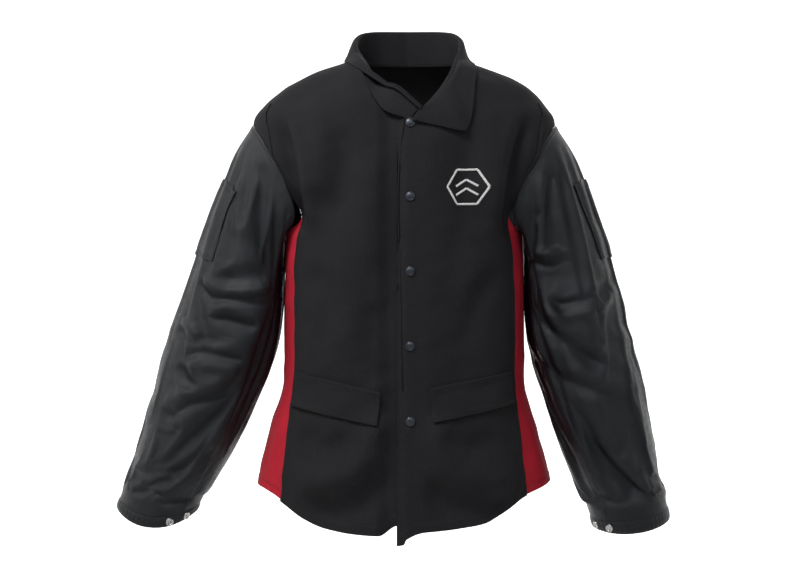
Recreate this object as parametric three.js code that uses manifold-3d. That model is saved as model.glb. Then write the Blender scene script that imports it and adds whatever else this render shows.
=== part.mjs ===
// Welding jacket: flame-resistant cotton body, leather sleeves, snap front.
// Millimetres. The wearer faces -Y, +X is the wearer's left, +Z is up. The origin is the
// centre of the neck support, level with the high points of the shoulders.
import * as THREE from 'three';
import { mergeVertices } from 'three/addons/utils/BufferGeometryUtils.js';
import Module from 'manifold-3d';

// ---------------------------------------------------------------- driving dimensions
const CLOTH = 2.0; // cotton with its facing or lining
const HIDE = 2.2; // sleeve leather with its seam allowance
const GAP = 0.3; // clearance between sewn neighbours
const SEAM_GAP = 0.34; // the same along the curved seams, in degrees round the body
const ARMHOLE_GAP = 1.8; // the side panel's top stays this far under the armhole
const FLAP = 2.2; // pocket flap, two layers of cotton
const FLAP_LIFT = 1.6; // air under a flap
const LEAF_CLEARANCE = 9.5; // the collar leaf over the sloping shoulder, measured level
const NECK_X = 5; // the neck opening sits this far to the wearer's left
const EDGE_X = -11; // free edge of the overlapping wearer's-left front
const SNAP_X = 9.5; // line of the front snaps
const UNDERLAP_X = 29; // free edge of the wearer's-right front, under the other
const UNDERLAP_SINK = 8.2; // how far the under layer lies behind the outer one
const SNAP_TOP_Z = -113;
const SNAP_PITCH = 117;
const SNAPS = 5;
const YOKE_Z = -150; // the back yoke's seam
const OPENING_TOP_Z = -292; // the front opens below this level, between two snaps
const NECK_V_Z = -106; // lowest point of the neckline, level with the shoulder tips
const ARMHOLE = { top: NECK_V_Z, bottom: -284, spread: 36 }; // spread in degrees each way
const ARMHOLE_SQUARE = { top: 2, bottom: 3 }; // 2 for an ellipse, more for a squarer curve
const CUFF_SNAPS = { left: [128, 158], right: [112, 140] }; // degrees from the outermost line
const SLEEVE_SEAM = 132; // degrees from the outermost line to each sleeve seam
const SLEEVE_POCKET = { left: 40, right: 60 }; // the pocket's front edge, counted alike
const CUFF_HEM = 0.966; // the turned hem starts at this share of the sleeve
const SLEEVE_ROUND = 0.92; // roundness of a sleeve's section, 1 for an ellipse
const SLEEVE_FLAT = 0.55; // the same across its inner side where it lies on the body
const CAP_R = 7.5; // line 24 snap cap
const STEM_R = 1.6;

// Torso sections: height, half width, half depth in front, half depth behind, squareness.
const TORSO = [
  [10, 88, 62, 72, 2.0],
  [0, 98, 70, 80, 2.0],
  [-21, 153, 84, 97, 2.05],
  [-46, 203, 97, 113, 2.1],
  [-71, 229, 107, 122, 2.15],
  [-98, 247, 115, 128, 2.2],
  [-150, 250, 125, 133, 2.25],
  [-205, 226, 131, 135, 2.35],
  [-272, 194, 136, 134, 2.45],
  [-350, 196, 139, 131, 2.5],
  [-440, 197, 141, 128, 2.5],
  [-515, 196, 142, 128, 2.5],
  [-600, 219, 148, 136, 2.45],
  [-690, 238, 154, 145, 2.4],
  [-775, 247, 157, 151, 2.4],
];
// Front seams of the red side panels: height, distance from the middle.
const SIDE_SEAM = [[-180, 210], [-230, 188], [-272, 171], [-350, 176], [-500, 177],
  [-600, 184], [-720, 197]];
// Neckline of the front panels: height, distance from the middle of the neck.
const NECKLINE = [[0, 92], [-10, 84], [-30, 71], [-60, 57], [-76, 48], [-92, 33], [-106, 0]];
// Hem: angle round the body from the front in degrees, height on the left and on the right.
const HEM = [[0, -752, -758], [8, -750, -757], [17, -746, -754], [27, -740, -747],
  [37, -724, -734], [48, -704, -715], [59, -695, -700], [72, -689, -692], [90, -686, -689],
  [112, -704, -704], [130, -728, -728], [150, -752, -752], [180, -758, -758]];
const TIP_DROP = 14; // the overlapping front's corner hangs this far below its hem
const TIP_WIDTH = 24;
const UNDER_RISE = 16; // the under front's hem rises towards its free edge
const EMBLEM = { x: 100, z: -214, radius: 33, line: 3 };
// Sleeves: outer edge x, z; inner edge x, z; half depth; middle's y; drop of the front.
const SLEEVES = {
  left: [
    [250, -106, 190, -284, 74, 0, 0],
    [288, -172, 196, -296, 80, 0, 0],
    [314, -245, 194, -327, 84, 0, 0],
    [341, -315, 194, -372, 85, 0, 0],
    [360, -380, 195, -430, 84, -2, 0],
    [377, -442, 206, -488, 82, -5, 0],
    [392, -505, 227, -546, 78, -10, 0],
    [406, -570, 250, -605, 72, -15, 0],
    [417, -635, 274, -663, 66, -20, 0],
    [424, -690, 293, -712, 61, -24, 4],
    [432, -748, 310, -764, 57, -26, 10],
  ],
  right: [
    [250, -106, 190, -284, 74, 0, 0],
    [290, -172, 196, -296, 80, 0, 0],
    [319, -240, 194, -327, 84, 0, 0],
    [346, -310, 194, -374, 85, 0, 0],
    [369, -375, 197, -434, 84, -2, 0],
    [392, -437, 210, -497, 82, -5, 0],
    [409, -500, 239, -553, 78, -10, 0],
    [425, -565, 268, -611, 72, -15, 0],
    [441, -630, 299, -664, 66, -20, 2],
    [455, -686, 323, -704, 61, -24, 12],
    [467, -728, 339, -736, 58, -26, 24],
  ],
};

// ------------------------------------------------------------------------- materials
const finish = (color, roughness, metalness = 0) =>
  new THREE.MeshStandardMaterial({ color, roughness, metalness });
const MATERIALS = {
  cotton: finish(0x26242a, 0.9),
  red_cotton: finish(0xb01e30, 0.9),
  leather: finish(0x15191e, 0.35),
  gunmetal: finish(0x464b52, 0.3, 1),
  nickel: finish(0xc8cacc, 0.2, 1),
  thread: finish(0xdcdcdc, 0.8),
};

// --------------------------------------------------------------------------- helpers
const wasm = await Module();
wasm.setup();
const jacket = new THREE.Group();
const rad = (degrees) => (degrees * Math.PI) / 180;
const lerp = (a, b, t) => a + (b - a) * t;
const clamp01 = (t) => Math.min(1, Math.max(0, t));
const ease = (t) => { const c = clamp01(t); return c * c * (3 - 2 * c); };
const range = (from, to, steps) =>
  Array.from({ length: steps + 1 }, (_, i) => lerp(from, to, i / steps));

// Smooth curve through a table's rows: cubic Hermite with limited slopes in column 0.
function along(table, at, column) {
  const rising = table[1][0] > table[0][0] ? 1 : -1;
  const last = table.length - 1;
  let i = 0;
  while (i < last - 1 && (at - table[i + 1][0]) * rising > 0) i += 1;
  const slope = (k) => {
    const rise = (a, b) => (table[b][column] - table[a][column]) / (table[b][0] - table[a][0]);
    if (k === 0) return rise(0, 1);
    if (k === last) return rise(last - 1, last);
    const [before, after] = [rise(k - 1, k), rise(k, k + 1)];
    return before * after > 0 ? (2 * before * after) / (before + after) : 0;
  };
  const width = table[i + 1][0] - table[i][0];
  const t = clamp01((at - table[i][0]) / width);
  const [t2, t3] = [t * t, t * t * t];
  return (2 * t3 - 3 * t2 + 1) * table[i][column] + (t3 - 2 * t2 + t) * width * slope(i)
    + (3 * t2 - 2 * t3) * table[i + 1][column] + (t3 - t2) * width * slope(i + 1);
}

function addMesh(name, geometry, material) {
  geometry.deleteAttribute('normal');
  geometry.deleteAttribute('uv');
  const mesh = new THREE.Mesh(mergeVertices(geometry, 1e-3), material);
  mesh.name = name;
  jacket.add(mesh);
  return mesh;
}

function fromArrays(points, faces) {
  const geometry = new THREE.BufferGeometry();
  geometry.setAttribute('position',
    new THREE.Float32BufferAttribute(points.flatMap((p) => [p.x, p.y, p.z]), 3));
  geometry.setIndex(faces);
  return geometry;
}

// Unit normals of a grid of points, rows by columns, on the side that the flip asks for.
function gridNormals(grid, flip) {
  const rows = grid.length;
  const last = grid[0].length - 1;
  const edgeSlope = (row, j, step) => row[j].clone().multiplyScalar(-3)
    .addScaledVector(row[j + step], 4).sub(row[j + 2 * step]).multiplyScalar(step);
  return grid.map((row, i) => row.map((_, j) => {
    const down = grid[Math.min(i + 1, rows - 1)][j].clone().sub(grid[Math.max(i - 1, 0)][j]);
    const inside = j > 0 && j < last;
    const over = inside ? row[j + 1].clone().sub(row[j - 1]) : edgeSlope(row, j, j === 0 ? 1 : -1);
    return down.cross(over).normalize().multiplyScalar(flip);
  }));
}

// A closed shell: a grid of outer points, thickened towards its inside.
function shell(grid, thickness, flip = 1, lift = 0) {
  const normals = gridNormals(grid, flip);
  const [rows, columns] = [grid.length, grid[0].length];
  const points = [];
  for (const depth of [lift, lift - thickness]) {
    grid.forEach((row, i) => row.forEach((p, j) => {
      points.push(p.clone().addScaledVector(normals[i][j], depth));
    }));
  }
  const at = (layer, i, j) => layer * rows * columns + i * columns + j;
  const faces = [];
  const quad = (a, b, c, d) => faces.push(...(flip > 0 ? [a, c, b, a, d, c] : [a, b, c, a, c, d]));
  for (let i = 0; i < rows - 1; i += 1) {
    for (let j = 0; j < columns - 1; j += 1) {
      quad(at(0, i, j), at(0, i, j + 1), at(0, i + 1, j + 1), at(0, i + 1, j));
      quad(at(1, i, j), at(1, i + 1, j), at(1, i + 1, j + 1), at(1, i, j + 1));
    }
  }
  const rim = [];
  for (let j = 0; j < columns - 1; j += 1) rim.push([0, j]);
  for (let i = 0; i < rows - 1; i += 1) rim.push([i, columns - 1]);
  for (let j = columns - 1; j > 0; j -= 1) rim.push([rows - 1, j]);
  for (let i = rows - 1; i > 0; i -= 1) rim.push([i, 0]);
  rim.forEach(([i, j], k) => {
    const [m, n] = rim[(k + 1) % rim.length];
    quad(at(0, i, j), at(1, i, j), at(1, m, n), at(0, m, n));
  });
  return fromArrays(points, faces);
}

const toSolid = (geometry) => {
  const bare = geometry.clone();
  bare.deleteAttribute('normal');
  bare.deleteAttribute('uv');
  const merged = mergeVertices(bare, 1e-3);
  return new wasm.Manifold(new wasm.Mesh({
    numProp: 3,
    vertProperties: new Float32Array(merged.attributes.position.array),
    triVerts: new Uint32Array(merged.index.array),
  }));
};

function toGeometry(solid) {
  const mesh = solid.getMesh();
  const geometry = new THREE.BufferGeometry();
  geometry.setAttribute('position', new THREE.BufferAttribute(new Float32Array(mesh.vertProperties), 3));
  geometry.setIndex(new THREE.BufferAttribute(new Uint32Array(mesh.triVerts), 1));
  return geometry;
}

// Round holes for the snaps' stems.
function pierce(geometry, places, radius) {
  return toGeometry(places.reduce((solid, place) => {
    const drill = new THREE.CylinderGeometry(radius, radius, 30, 8);
    drill.applyMatrix4(place);
    return solid.subtract(toSolid(drill));
  }, toSolid(geometry)));
}

// ----------------------------------------------------------------------------- torso
const neckShift = (z) => NECK_X * ease((z + 120) / 120);

// A point of the torso's outer surface; degrees run from the front over the wearer's left.
function torso(degrees, z) {
  const [half, front, back, power] = [1, 2, 3, 4].map((c) => along(TORSO, z, c));
  const [s, c] = [Math.sin(rad(degrees)), Math.cos(rad(degrees))];
  const shift = neckShift(z);
  return new THREE.Vector3(
    shift + half * Math.sign(s) * Math.abs(s) ** (2 / power),
    -(c > 0 ? front : back) * Math.sign(c) * Math.abs(c) ** (2 / power),
    z,
  );
}

// The angle whose torso point lies the given distance from the middle, on the front.
function angleAt(x, z) {
  const [half, power] = [along(TORSO, z, 1), along(TORSO, z, 4)];
  const share = Math.min(1, Math.abs(x) / half);
  return Math.sign(x) * (Math.asin(share ** (power / 2)) * 180) / Math.PI;
}

const frontPoint = (x, z) => torso(angleAt(x - neckShift(z), z), z);
const seamAngle = (z) => angleAt(along(SIDE_SEAM, z, 1), z);

// Moves a point out and up until it stands clear of the torso.
function clearOfTorso(point, clearance, rise) {
  const p = point.clone();
  for (let i = 0; i < 120; i += 1) {
    const [half, front, back] = [1, 2, 3].map((c) => along(TORSO, p.z, c) + clearance);
    const power = along(TORSO, p.z, 4);
    const x = p.x - neckShift(p.z);
    const depth = p.y < 0 ? front : back;
    if (p.z > TORSO[0][0] || Math.abs(x / half) ** power + Math.abs(p.y / depth) ** power > 1) break;
    const out = new THREE.Vector3(x / half, p.y / depth, 0).normalize().setZ(rise);
    p.addScaledVector(out.normalize(), 0.5);
  }
  return p;
}

function frontNormal(x, z) {
  const across = frontPoint(x + 2, z).sub(frontPoint(x - 2, z));
  const down = frontPoint(x, z - 2).sub(frontPoint(x, z + 2));
  return down.cross(across).normalize();
}

// The armhole's edge on the front quarter at a height between its top and bottom.
function armholeAngle(z) {
  const height = 1 - (2 * (z - ARMHOLE.top)) / (ARMHOLE.bottom - ARMHOLE.top);
  const power = height > 0 ? ARMHOLE_SQUARE.top : ARMHOLE_SQUARE.bottom;
  return 90 - ARMHOLE.spread * Math.max(0, 1 - Math.abs(height) ** power) ** (1 / power);
}

// The height of the armhole's lower edge at an angle round the body.
function armholeFoot(degrees) {
  const aside = Math.min(1, Math.abs(90 - degrees) / ARMHOLE.spread);
  const power = ARMHOLE_SQUARE.bottom;
  return lerp(ARMHOLE.top, ARMHOLE.bottom, (1 + (1 - aside ** power) ** (1 / power)) / 2);
}

// The level where a side panel's seam runs into the armhole.
const SEAM_TOP = (() => {
  let z = (ARMHOLE.top + ARMHOLE.bottom) / 2;
  while (armholeAngle(z) < seamAngle(z)) z -= 0.25;
  return z;
})();

// Where a front or back panel ends on its side, as an angle on the front quarter.
function panelEdge(z) {
  if (z >= ARMHOLE.top) return 90 - SEAM_GAP;
  return (z > SEAM_TOP ? armholeAngle(z) : seamAngle(z)) - SEAM_GAP;
}

const armholeZ = (turn) => lerp(ARMHOLE.top, ARMHOLE.bottom, (1 - Math.cos(turn)) / 2);
const NECK_LEVELS = [0, -8, -21, -40, -60, -76, -92, -101];
const ARM_LEVELS = [NECK_V_Z, ...[0.26, 0.52, 0.85, 1.25, 1.7, 2.1].map(armholeZ), SEAM_TOP, -277];
const SIDE_LEVELS = [-345, -400, -450, -495, -530, -565, -605];
const HEM_SHARES = [1 / 3, 2 / 3, 1];

// The hem's height; degrees run from -180 to 270, from the front over the wearer's left.
function hemZ(degrees) {
  const turn = degrees > 180 ? degrees - 360 : degrees;
  return along(HEM, Math.abs(turn), turn > 0 ? 1 : 2);
}

// How far the fronts' hems leave the plain hem near the opening, at a distance across.
const tipDrop = (x) => -TIP_DROP * Math.exp(-(((x - EDGE_X) / TIP_WIDTH) ** 2));
const underRise = (x) => UNDER_RISE * ease((x + 40) / 30);

// A panel's grid: rows at the given levels and then shares of the way down to the hem,
// columns from one edge to the other.
function panelGrid(levels, startOf, endOf, columns, toHem = true, sink = () => 0, hemShift = () => 0) {
  const last = levels[levels.length - 1];
  const rows = [...levels.map((z) => [z, 0]), ...(toHem ? HEM_SHARES.map((t) => [last, t]) : [])];
  return rows.map(([level, share]) => range(0, 1, columns).map((u) => {
    const angleOn = (z) => lerp(startOf(z), endOf(z), u);
    const plain = hemZ(angleOn(last));
    const z = lerp(level, plain + hemShift(torso(angleOn(plain), plain).x), share);
    const p = torso(angleOn(z), z);
    return p.add(new THREE.Vector3(0, sink(p.x), 0));
  }));
}

const edgeOn = (x, z) => angleAt(x - neckShift(z), z);
const sinkOf = (x) => UNDERLAP_SINK * ease((x + 46) / 26);

function makeFronts() {
  const neckline = (z) => angleAt(along(NECKLINE, z, 1), z);
  const startLeft = (z) => (z > NECK_V_Z ? neckline(z) : edgeOn(EDGE_X, z));
  const endRight = (z) => (z > NECK_V_Z ? -neckline(z) : edgeOn(UNDERLAP_X, z));
  const upper = panelGrid([...NECK_LEVELS, ...ARM_LEVELS, OPENING_TOP_Z + GAP],
    startLeft, panelEdge, 8, false);
  const lower = panelGrid([OPENING_TOP_Z - GAP, ...SIDE_LEVELS],
    startLeft, panelEdge, 8, true, () => 0, tipDrop);
  const right = panelGrid([...NECK_LEVELS, ...ARM_LEVELS, OPENING_TOP_Z, ...SIDE_LEVELS],
    (z) => -panelEdge(z), endRight, 10, true, sinkOf, underRise);
  const snaps = snapPlaces();
  const add = (name, grid, places) =>
    addMesh(name, pierce(shell(grid, CLOTH), places, STEM_R + GAP), MATERIALS.cotton);
  add('front_left_upper', upper, snaps.filter((s) => s.z > OPENING_TOP_Z).map((s) => s.cap));
  add('front_left_lower', lower, snaps.filter((s) => s.z < OPENING_TOP_Z).map((s) => s.cap));
  add('front_right', right, snaps.map((s) => s.stud));
}

function makeBack() {
  const start = (z) => 180 - panelEdge(z);
  const end = (z) => 180 + panelEdge(z);
  const above = ARM_LEVELS.filter((z) => z > YOKE_Z + 4);
  const below = ARM_LEVELS.filter((z) => z < YOKE_Z - 4);
  const yoke = panelGrid([6, ...NECK_LEVELS, ...above, YOKE_Z + GAP], start, end, 12, false);
  const panel = panelGrid([YOKE_Z - GAP, ...below, OPENING_TOP_Z, ...SIDE_LEVELS], start, end, 12);
  addMesh('back_yoke', shell(yoke, CLOTH), MATERIALS.cotton);
  addMesh('back_panel', shell(panel, CLOTH), MATERIALS.cotton);
}

// A red side panel: it runs up to the armhole between its two seams.
function makeSidePanel(name, side) {
  const levels = [OPENING_TOP_Z, ...SIDE_LEVELS];
  const last = levels[levels.length - 1];
  const rows = [['top', 0], ['top', 0.5], ...levels.map((z) => [z, 0]), ...HEM_SHARES.map((t) => [last, t])];
  const grid = rows.map(([level, share]) => range(0, 1, 8).map((u) => {
    const angleOn = (z) => lerp(seamAngle(z) + SEAM_GAP, 180 - seamAngle(z) - SEAM_GAP, u);
    const top = armholeFoot(angleOn(SEAM_TOP)) - ARMHOLE_GAP;
    const z = level === 'top' ? lerp(top, levels[0], share)
      : lerp(level, hemZ(side * angleOn(last)), share);
    return torso(side * angleOn(z), z);
  }));
  addMesh(name, shell(grid, CLOTH, side), MATERIALS.red_cotton);
}

// ---------------------------------------------------------------------------- sleeves
// A point of a sleeve: share of its length, degrees from the outermost line to the front.
function sleevePoint(name, share, degrees) {
  const side = name === 'left' ? 1 : -1;
  const table = SLEEVES[name].map((row, i) => [i, ...row]);
  const sectionAt = (at) => {
    const [ox, oz, ix, iz, depth, middle, drop] = [1, 2, 3, 4, 5, 6, 7].map((c) => along(table, at, c));
    const [s, c] = [Math.sin(rad(degrees)), Math.cos(rad(degrees))];
    const round = (v, power = SLEEVE_ROUND) => Math.sign(v) * Math.abs(v) ** power;
    const inner = lerp(SLEEVE_FLAT, SLEEVE_ROUND, ease((at - 4) / 3));
    const across = (1 + round(c, c < 0 ? inner : SLEEVE_ROUND)) / 2;
    const y = middle - depth * round(s);
    return new THREE.Vector3(side * lerp(ix, ox, across), y,
      lerp(iz, oz, across) - drop * Math.max(0, s) * Math.abs(s));
  };
  const last = SLEEVES[name].length - 1;
  const p = sectionAt(share * last);
  const fade = 1 - ease((share * last) / 2.6);
  if (fade > 0) {
    const turn = Math.abs(rad(degrees));
    const z = armholeZ(turn);
    const edge = armholeAngle(z);
    const ring = torso(side * (degrees >= 0 ? edge : 180 - edge), z);
    ring.x += side * 2.0;
    ring.z -= 0.5;
    p.addScaledVector(ring.sub(sectionAt(0)), fade);
  }
  if (share > 0 && p.z > -520) return clearOfTorso(p, 1.6, 0);
  return p;
}

function makeSleeve(name) {
  const side = name === 'left' ? 1 : -1;
  const shares = [0, 0.03, 0.08, ...range(0.15, CUFF_HEM, 9)];
  const trim = 0.25;
  const piece = (from, to, columns, rows = shares) => rows.map((share) =>
    range(from, to, columns).map((degrees) => sleevePoint(name, share, degrees > 180 ? degrees - 360 : degrees)));
  const outer = piece(SLEEVE_SEAM - trim, -SLEEVE_SEAM + trim, 14);
  const under = piece(SLEEVE_SEAM + trim, 360 - SLEEVE_SEAM - trim, 6);
  addMesh(`sleeve_${name}_outer`, shell(outer, HIDE, side), MATERIALS.leather);
  addMesh(`sleeve_${name}_under`, shell(under, HIDE, -side), MATERIALS.leather);
  makeCuffHem(name);
  makeSleevePocket(name, side);
}

// The turned hem: a closed ring with a round-cornered section.
function makeCuffHem(name) {
  const side = name === 'left' ? 1 : -1;
  const corners = [[0.002, 0.6], [1 - CUFF_HEM, 0.6], [1 - CUFF_HEM, -2.6], [0.002, -2.6]];
  const steps = 22;
  const points = [];
  for (let j = 0; j < steps; j += 1) {
    const degrees = (j / steps) * 360 - 180;
    const middle = new THREE.Vector3();
    for (const turn of [-90, 0, 90, 180]) middle.add(sleevePoint(name, 0.99, turn));
    middle.multiplyScalar(0.25);
    for (const [rise, lift] of corners) {
      const p = sleevePoint(name, CUFF_HEM + rise, degrees);
      const out = p.clone().sub(middle).setZ(0).normalize();
      points.push(p.addScaledVector(out, lift));
    }
  }
  const faces = [];
  const n = corners.length;
  for (let j = 0; j < steps; j += 1) {
    for (let k = 0; k < n; k += 1) {
      const a = j * n + k;
      const b = j * n + ((k + 1) % n);
      const c = ((j + 1) % steps) * n + ((k + 1) % n);
      const d = ((j + 1) % steps) * n + k;
      faces.push(...(side > 0 ? [a, c, b, a, d, c] : [a, b, c, a, c, d]));
    }
  }
  const places = CUFF_SNAPS[name].map((degrees) => cuffFrame(name, degrees));
  addMesh(`cuff_hem_${name}`, pierce(fromArrays(points, faces), places, STEM_R + GAP), MATERIALS.leather);
}

function makeSleevePocket(name, side) {
  const start = SLEEVE_POCKET[name];
  const grid = range(0, 1, 8).map((v) => range(0, 1, 6).map((u) =>
    sleevePoint(name, lerp(0.13, 0.305, v), lerp(start, start - 81, u))));
  addMesh(`sleeve_pocket_${name}`, shell(grid, 2.0, side, 3.6), MATERIALS.leather);
}

// ----------------------------------------------------------------------------- collar
// Stations from the middle of the back to the front, on each side: the foot of the stand,
// the fold and the leaf's free edge. The wearer's-right leaf stands up in front.
const COLLAR = {
  left: {
    foot: [[0, 79, 9], [48, 66, 8], [80, 34, 5], [93, -8, 2],
      [72, -80, -29], [57, -100, -60], [36, -111, -88], [8, -116, -103]],
    fold: [[0, 76, 61], [46, 64, 59], [75, 34, 51], [86, -6, 30],
      [76, -54, -14], [61, -86, -43], [43, -104, -68], [23, -114, -91]],
    leaf: [[0, 108, 6], [60, 96, 2], [92, 55, -3], [98, 0, -5],
      [99, -64, -50], [99, -100, -98], [88, -120, -128], [9, -121, -108]],
  },
  right: {
    foot: [[0, 79, 9], [48, 66, 8], [80, 34, 5], [93, -8, 2],
      [72, -80, -29], [57, -100, -60], [33, -112, -90], [-6, -117, -103]],
    fold: [[0, 76, 61], [46, 64, 59], [74, 34, 50], [82, -4, 28],
      [64, -50, -12], [45, -82, -46], [20, -104, -53], [-21, -116, -89]],
    leaf: [[0, 110, 6], [60, 98, 2], [96, 54, -3], [98, -2, -4],
      [79, -52, -31], [51, -86, -50], [22, -108, -58], [-20, -120, -93]],
  },
};

function collarPoint(line, at) {
  const side = at < 0 ? 'right' : 'left';
  const rows = COLLAR[side][line].map((row, i) => [i, ...row]);
  const place = Math.abs(at) * (rows.length - 1);
  const [x, y, z] = [1, 2, 3].map((c) => along(rows, place, c));
  return new THREE.Vector3(NECK_X + (side === 'left' ? x : -x), y, z);
}

function makeCollar() {
  const stations = range(-1, 1, 26);
  const inward = (p, distance) => {
    const to = new THREE.Vector3(NECK_X - p.x, 20 - p.y, 0).normalize();
    return p.clone().addScaledVector(to, distance);
  };
  const stand = range(0, 1, 3).map((v) => stations.map((at) =>
    inward(collarPoint('foot', at).lerp(collarPoint('fold', at), v), lerp(4, 1, v))));
  const leaf = range(0, 1, 5).map((v) => stations.map((at) => {
    const [fold, edge] = [collarPoint('fold', at), collarPoint('leaf', at)];
    const bulge = 0.12 * fold.distanceTo(edge) * Math.sin(Math.PI * v);
    const p = inward(fold.lerp(edge, v), -3 - bulge * 0.6).add(new THREE.Vector3(0, 0, 2 + bulge));
    return clearOfTorso(p, LEAF_CLEARANCE, 1.2);
  }));
  addMesh('collar_stand', shell(stand, CLOTH), MATERIALS.cotton);
  addMesh('collar_leaf', shell(leaf, CLOTH, -1), MATERIALS.cotton);
}

// ----------------------------------------------------------------------- chest emblem
// A plain hexagon of thread, open at one corner.
function makeEmblem() {
  const grid = [EMBLEM.radius, EMBLEM.radius - EMBLEM.line].map((radius) => range(0, 6, 12).map((corner) => {
    const turn = rad(60 * (corner + 0.03 * (3 - corner) / 3));
    const flat = Math.cos(rad(30)) / Math.cos(rad(60 * (corner % 1) - 30));
    return frontPoint(EMBLEM.x + radius * flat * Math.cos(turn), EMBLEM.z + radius * flat * Math.sin(turn));
  }));
  addMesh('chest_emblem', shell(grid, 0.8, -1, 1.2), MATERIALS.thread);
}

// ---------------------------------------------------------------------------- pockets
// A flap from its inner to its outer end: distances and heights of its four corners.
const FLAPS = {
  left: { x: [41, 165], top: [-531, -507], foot: [-583, -557] },
  right: { x: [37, 169], top: [-537, -507], foot: [-588, -560] },
};

function makePocket(name) {
  const side = name === 'left' ? 1 : -1;
  const { x, top, foot } = FLAPS[name];
  const place = (u, v) => {
    const across = side * lerp(lerp(x[0], x[1], u), lerp(x[0] + 5, x[1] + 7, u), v);
    return frontPoint(across, lerp(lerp(top[0], top[1], u), lerp(foot[0], foot[1], u), v));
  };
  const sunk = (p) => p.add(new THREE.Vector3(0, CLOTH + 1.4, 0));
  const flap = range(0, 1, 3).map((v) => range(0, 1, 9).map((u) => place(u, v)));
  const bag = range(0, 1, 4).map((v) => range(0, 1, 8).map((u) =>
    sunk(frontPoint(side * lerp(x[0] + 18, x[1] - 9, u), lerp(top[0] - 4, top[0] - 128, v)))));
  addMesh(`pocket_flap_${name}`, shell(flap, FLAP, side, FLAP + FLAP_LIFT), MATERIALS.cotton);
  addMesh(`pocket_bag_${name}`, shell(bag, 2.4, side), MATERIALS.cotton);
}

// ------------------------------------------------------------------------------ snaps
// Frames at each front snap: Y of each frame points out of the cloth.
function snapPlaces() {
  return range(0, SNAPS - 1, SNAPS - 1).map((i) => {
    const z = SNAP_TOP_Z - i * SNAP_PITCH;
    const normal = frontNormal(SNAP_X, z);
    const turn = new THREE.Quaternion().setFromUnitVectors(new THREE.Vector3(0, 1, 0), normal);
    const frame = (point) => new THREE.Matrix4().compose(point, turn, new THREE.Vector3(1, 1, 1));
    const outer = frontPoint(SNAP_X, z);
    const deep = outer.clone().addScaledVector(normal, UNDERLAP_SINK * normal.y);
    return { z, cap: frame(outer), stud: frame(deep) };
  });
}

// A turned piece from its section, radius and height in turn, closed on the axis.
const turned = (section, steps = 16) =>
  new THREE.LatheGeometry(section.map(([r, y]) => new THREE.Vector2(r, y)), steps);

const capSection = [
  [0, -CLOTH - 1.5], [STEM_R, -CLOTH - 1.5], [STEM_R, 0.4], [CAP_R - 0.4, 0.4], [CAP_R, 0.9],
  [CAP_R * 0.86, 1.9], [CAP_R * 0.5, 2.8], [0, 3.1],
];
const socketSection = [
  [STEM_R + 0.35, -CLOTH - 0.9], [STEM_R + 0.35, -CLOTH - 1.6], [4.3, -CLOTH - 1.6],
  [4.3, -CLOTH - 3.5], [6.2, -CLOTH - 3.5], [6.6, -CLOTH - 2.6], [6.6, -CLOTH - 0.9],
];
const studSection = [
  [0, -CLOTH - 1.0], [STEM_R, -CLOTH - 1.0], [STEM_R, 0.4], [6.0, 0.4], [6.0, 1.0], [2.6, 1.2],
  [2.5, 2.2], [3.0, 3.1], [2.2, 3.7], [0, 3.8],
];
const washerSection = [
  [STEM_R + 0.35, -CLOTH - 0.4], [STEM_R + 0.35, -CLOTH - 0.9], [5.6, -CLOTH - 0.9],
  [6.0, -CLOTH - 0.4],
];
const cuffSection = [
  [0, -4.4], [STEM_R, -4.4], [STEM_R, 0.9], [6.2, 0.9], [6.4, 1.6], [5.4, 2.8], [3.4, 3.0],
  [2.8, 1.8], [0, 1.8],
];
const cuffWasherSection = [
  [STEM_R + 0.35, -3.5], [STEM_R + 0.35, -4.1], [4.4, -4.1], [4.7, -3.5],
];
const closedSection = (section) => [...section, section[0]];

function makeSnaps() {
  snapPlaces().forEach(({ cap, stud }, i) => {
    const put = (name, section, place, steps) => {
      const geometry = turned(section, steps);
      geometry.applyMatrix4(place);
      addMesh(`${name}_${i + 1}`, geometry, MATERIALS.gunmetal);
    };
    put('snap_cap', capSection, cap, 12);
    put('snap_socket', closedSection(socketSection), cap, 10);
    put('snap_stud', studSection, stud, 8);
    put('snap_washer', closedSection(washerSection), stud, 8);
  });
}

// The frame of a cuff snap: Y points out of the leather.
function cuffFrame(name, degrees) {
  const share = (1 + CUFF_HEM) / 2;
  const p = sleevePoint(name, share, degrees);
  const over = sleevePoint(name, share, degrees - 3).sub(sleevePoint(name, share, degrees + 3));
  const down = sleevePoint(name, share + 0.01, degrees).sub(sleevePoint(name, share - 0.01, degrees));
  const normal = down.cross(over).normalize().multiplyScalar(name === 'left' ? 1 : -1);
  const turn = new THREE.Quaternion().setFromUnitVectors(new THREE.Vector3(0, 1, 0), normal);
  return new THREE.Matrix4().compose(p, turn, new THREE.Vector3(1, 1, 1));
}

function makeCuffSnaps(name) {
  CUFF_SNAPS[name].forEach((degrees, i) => {
    const place = cuffFrame(name, degrees);
    const snap = turned(cuffSection, 10).applyMatrix4(place);
    const washer = turned(closedSection(cuffWasherSection), 8).applyMatrix4(place);
    addMesh(`cuff_snap_${name}_${i + 1}`, snap, MATERIALS.nickel);
    addMesh(`cuff_washer_${name}_${i + 1}`, washer, MATERIALS.nickel);
  });
}

makeFronts();
makeBack();
makeSidePanel('side_panel_left', 1);
makeSidePanel('side_panel_right', -1);
makeSleeve('left');
makeSleeve('right');
makeCuffSnaps('left');
makeCuffSnaps('right');
makeCollar();
makeEmblem();
makePocket('left');
makePocket('right');
makeSnaps();

export default jacket;
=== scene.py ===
"""Welding jacket: cotton, leather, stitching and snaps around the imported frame.

Tables and lengths are in millimetres, as in the CAD source, and become metres in make_mesh().
The wearer faces -Y and +X is the wearer's left. A grid of points runs down in its rows and,
seen from outside, to the right of the body in its columns, so down x across points outwards.
"""
import math

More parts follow.
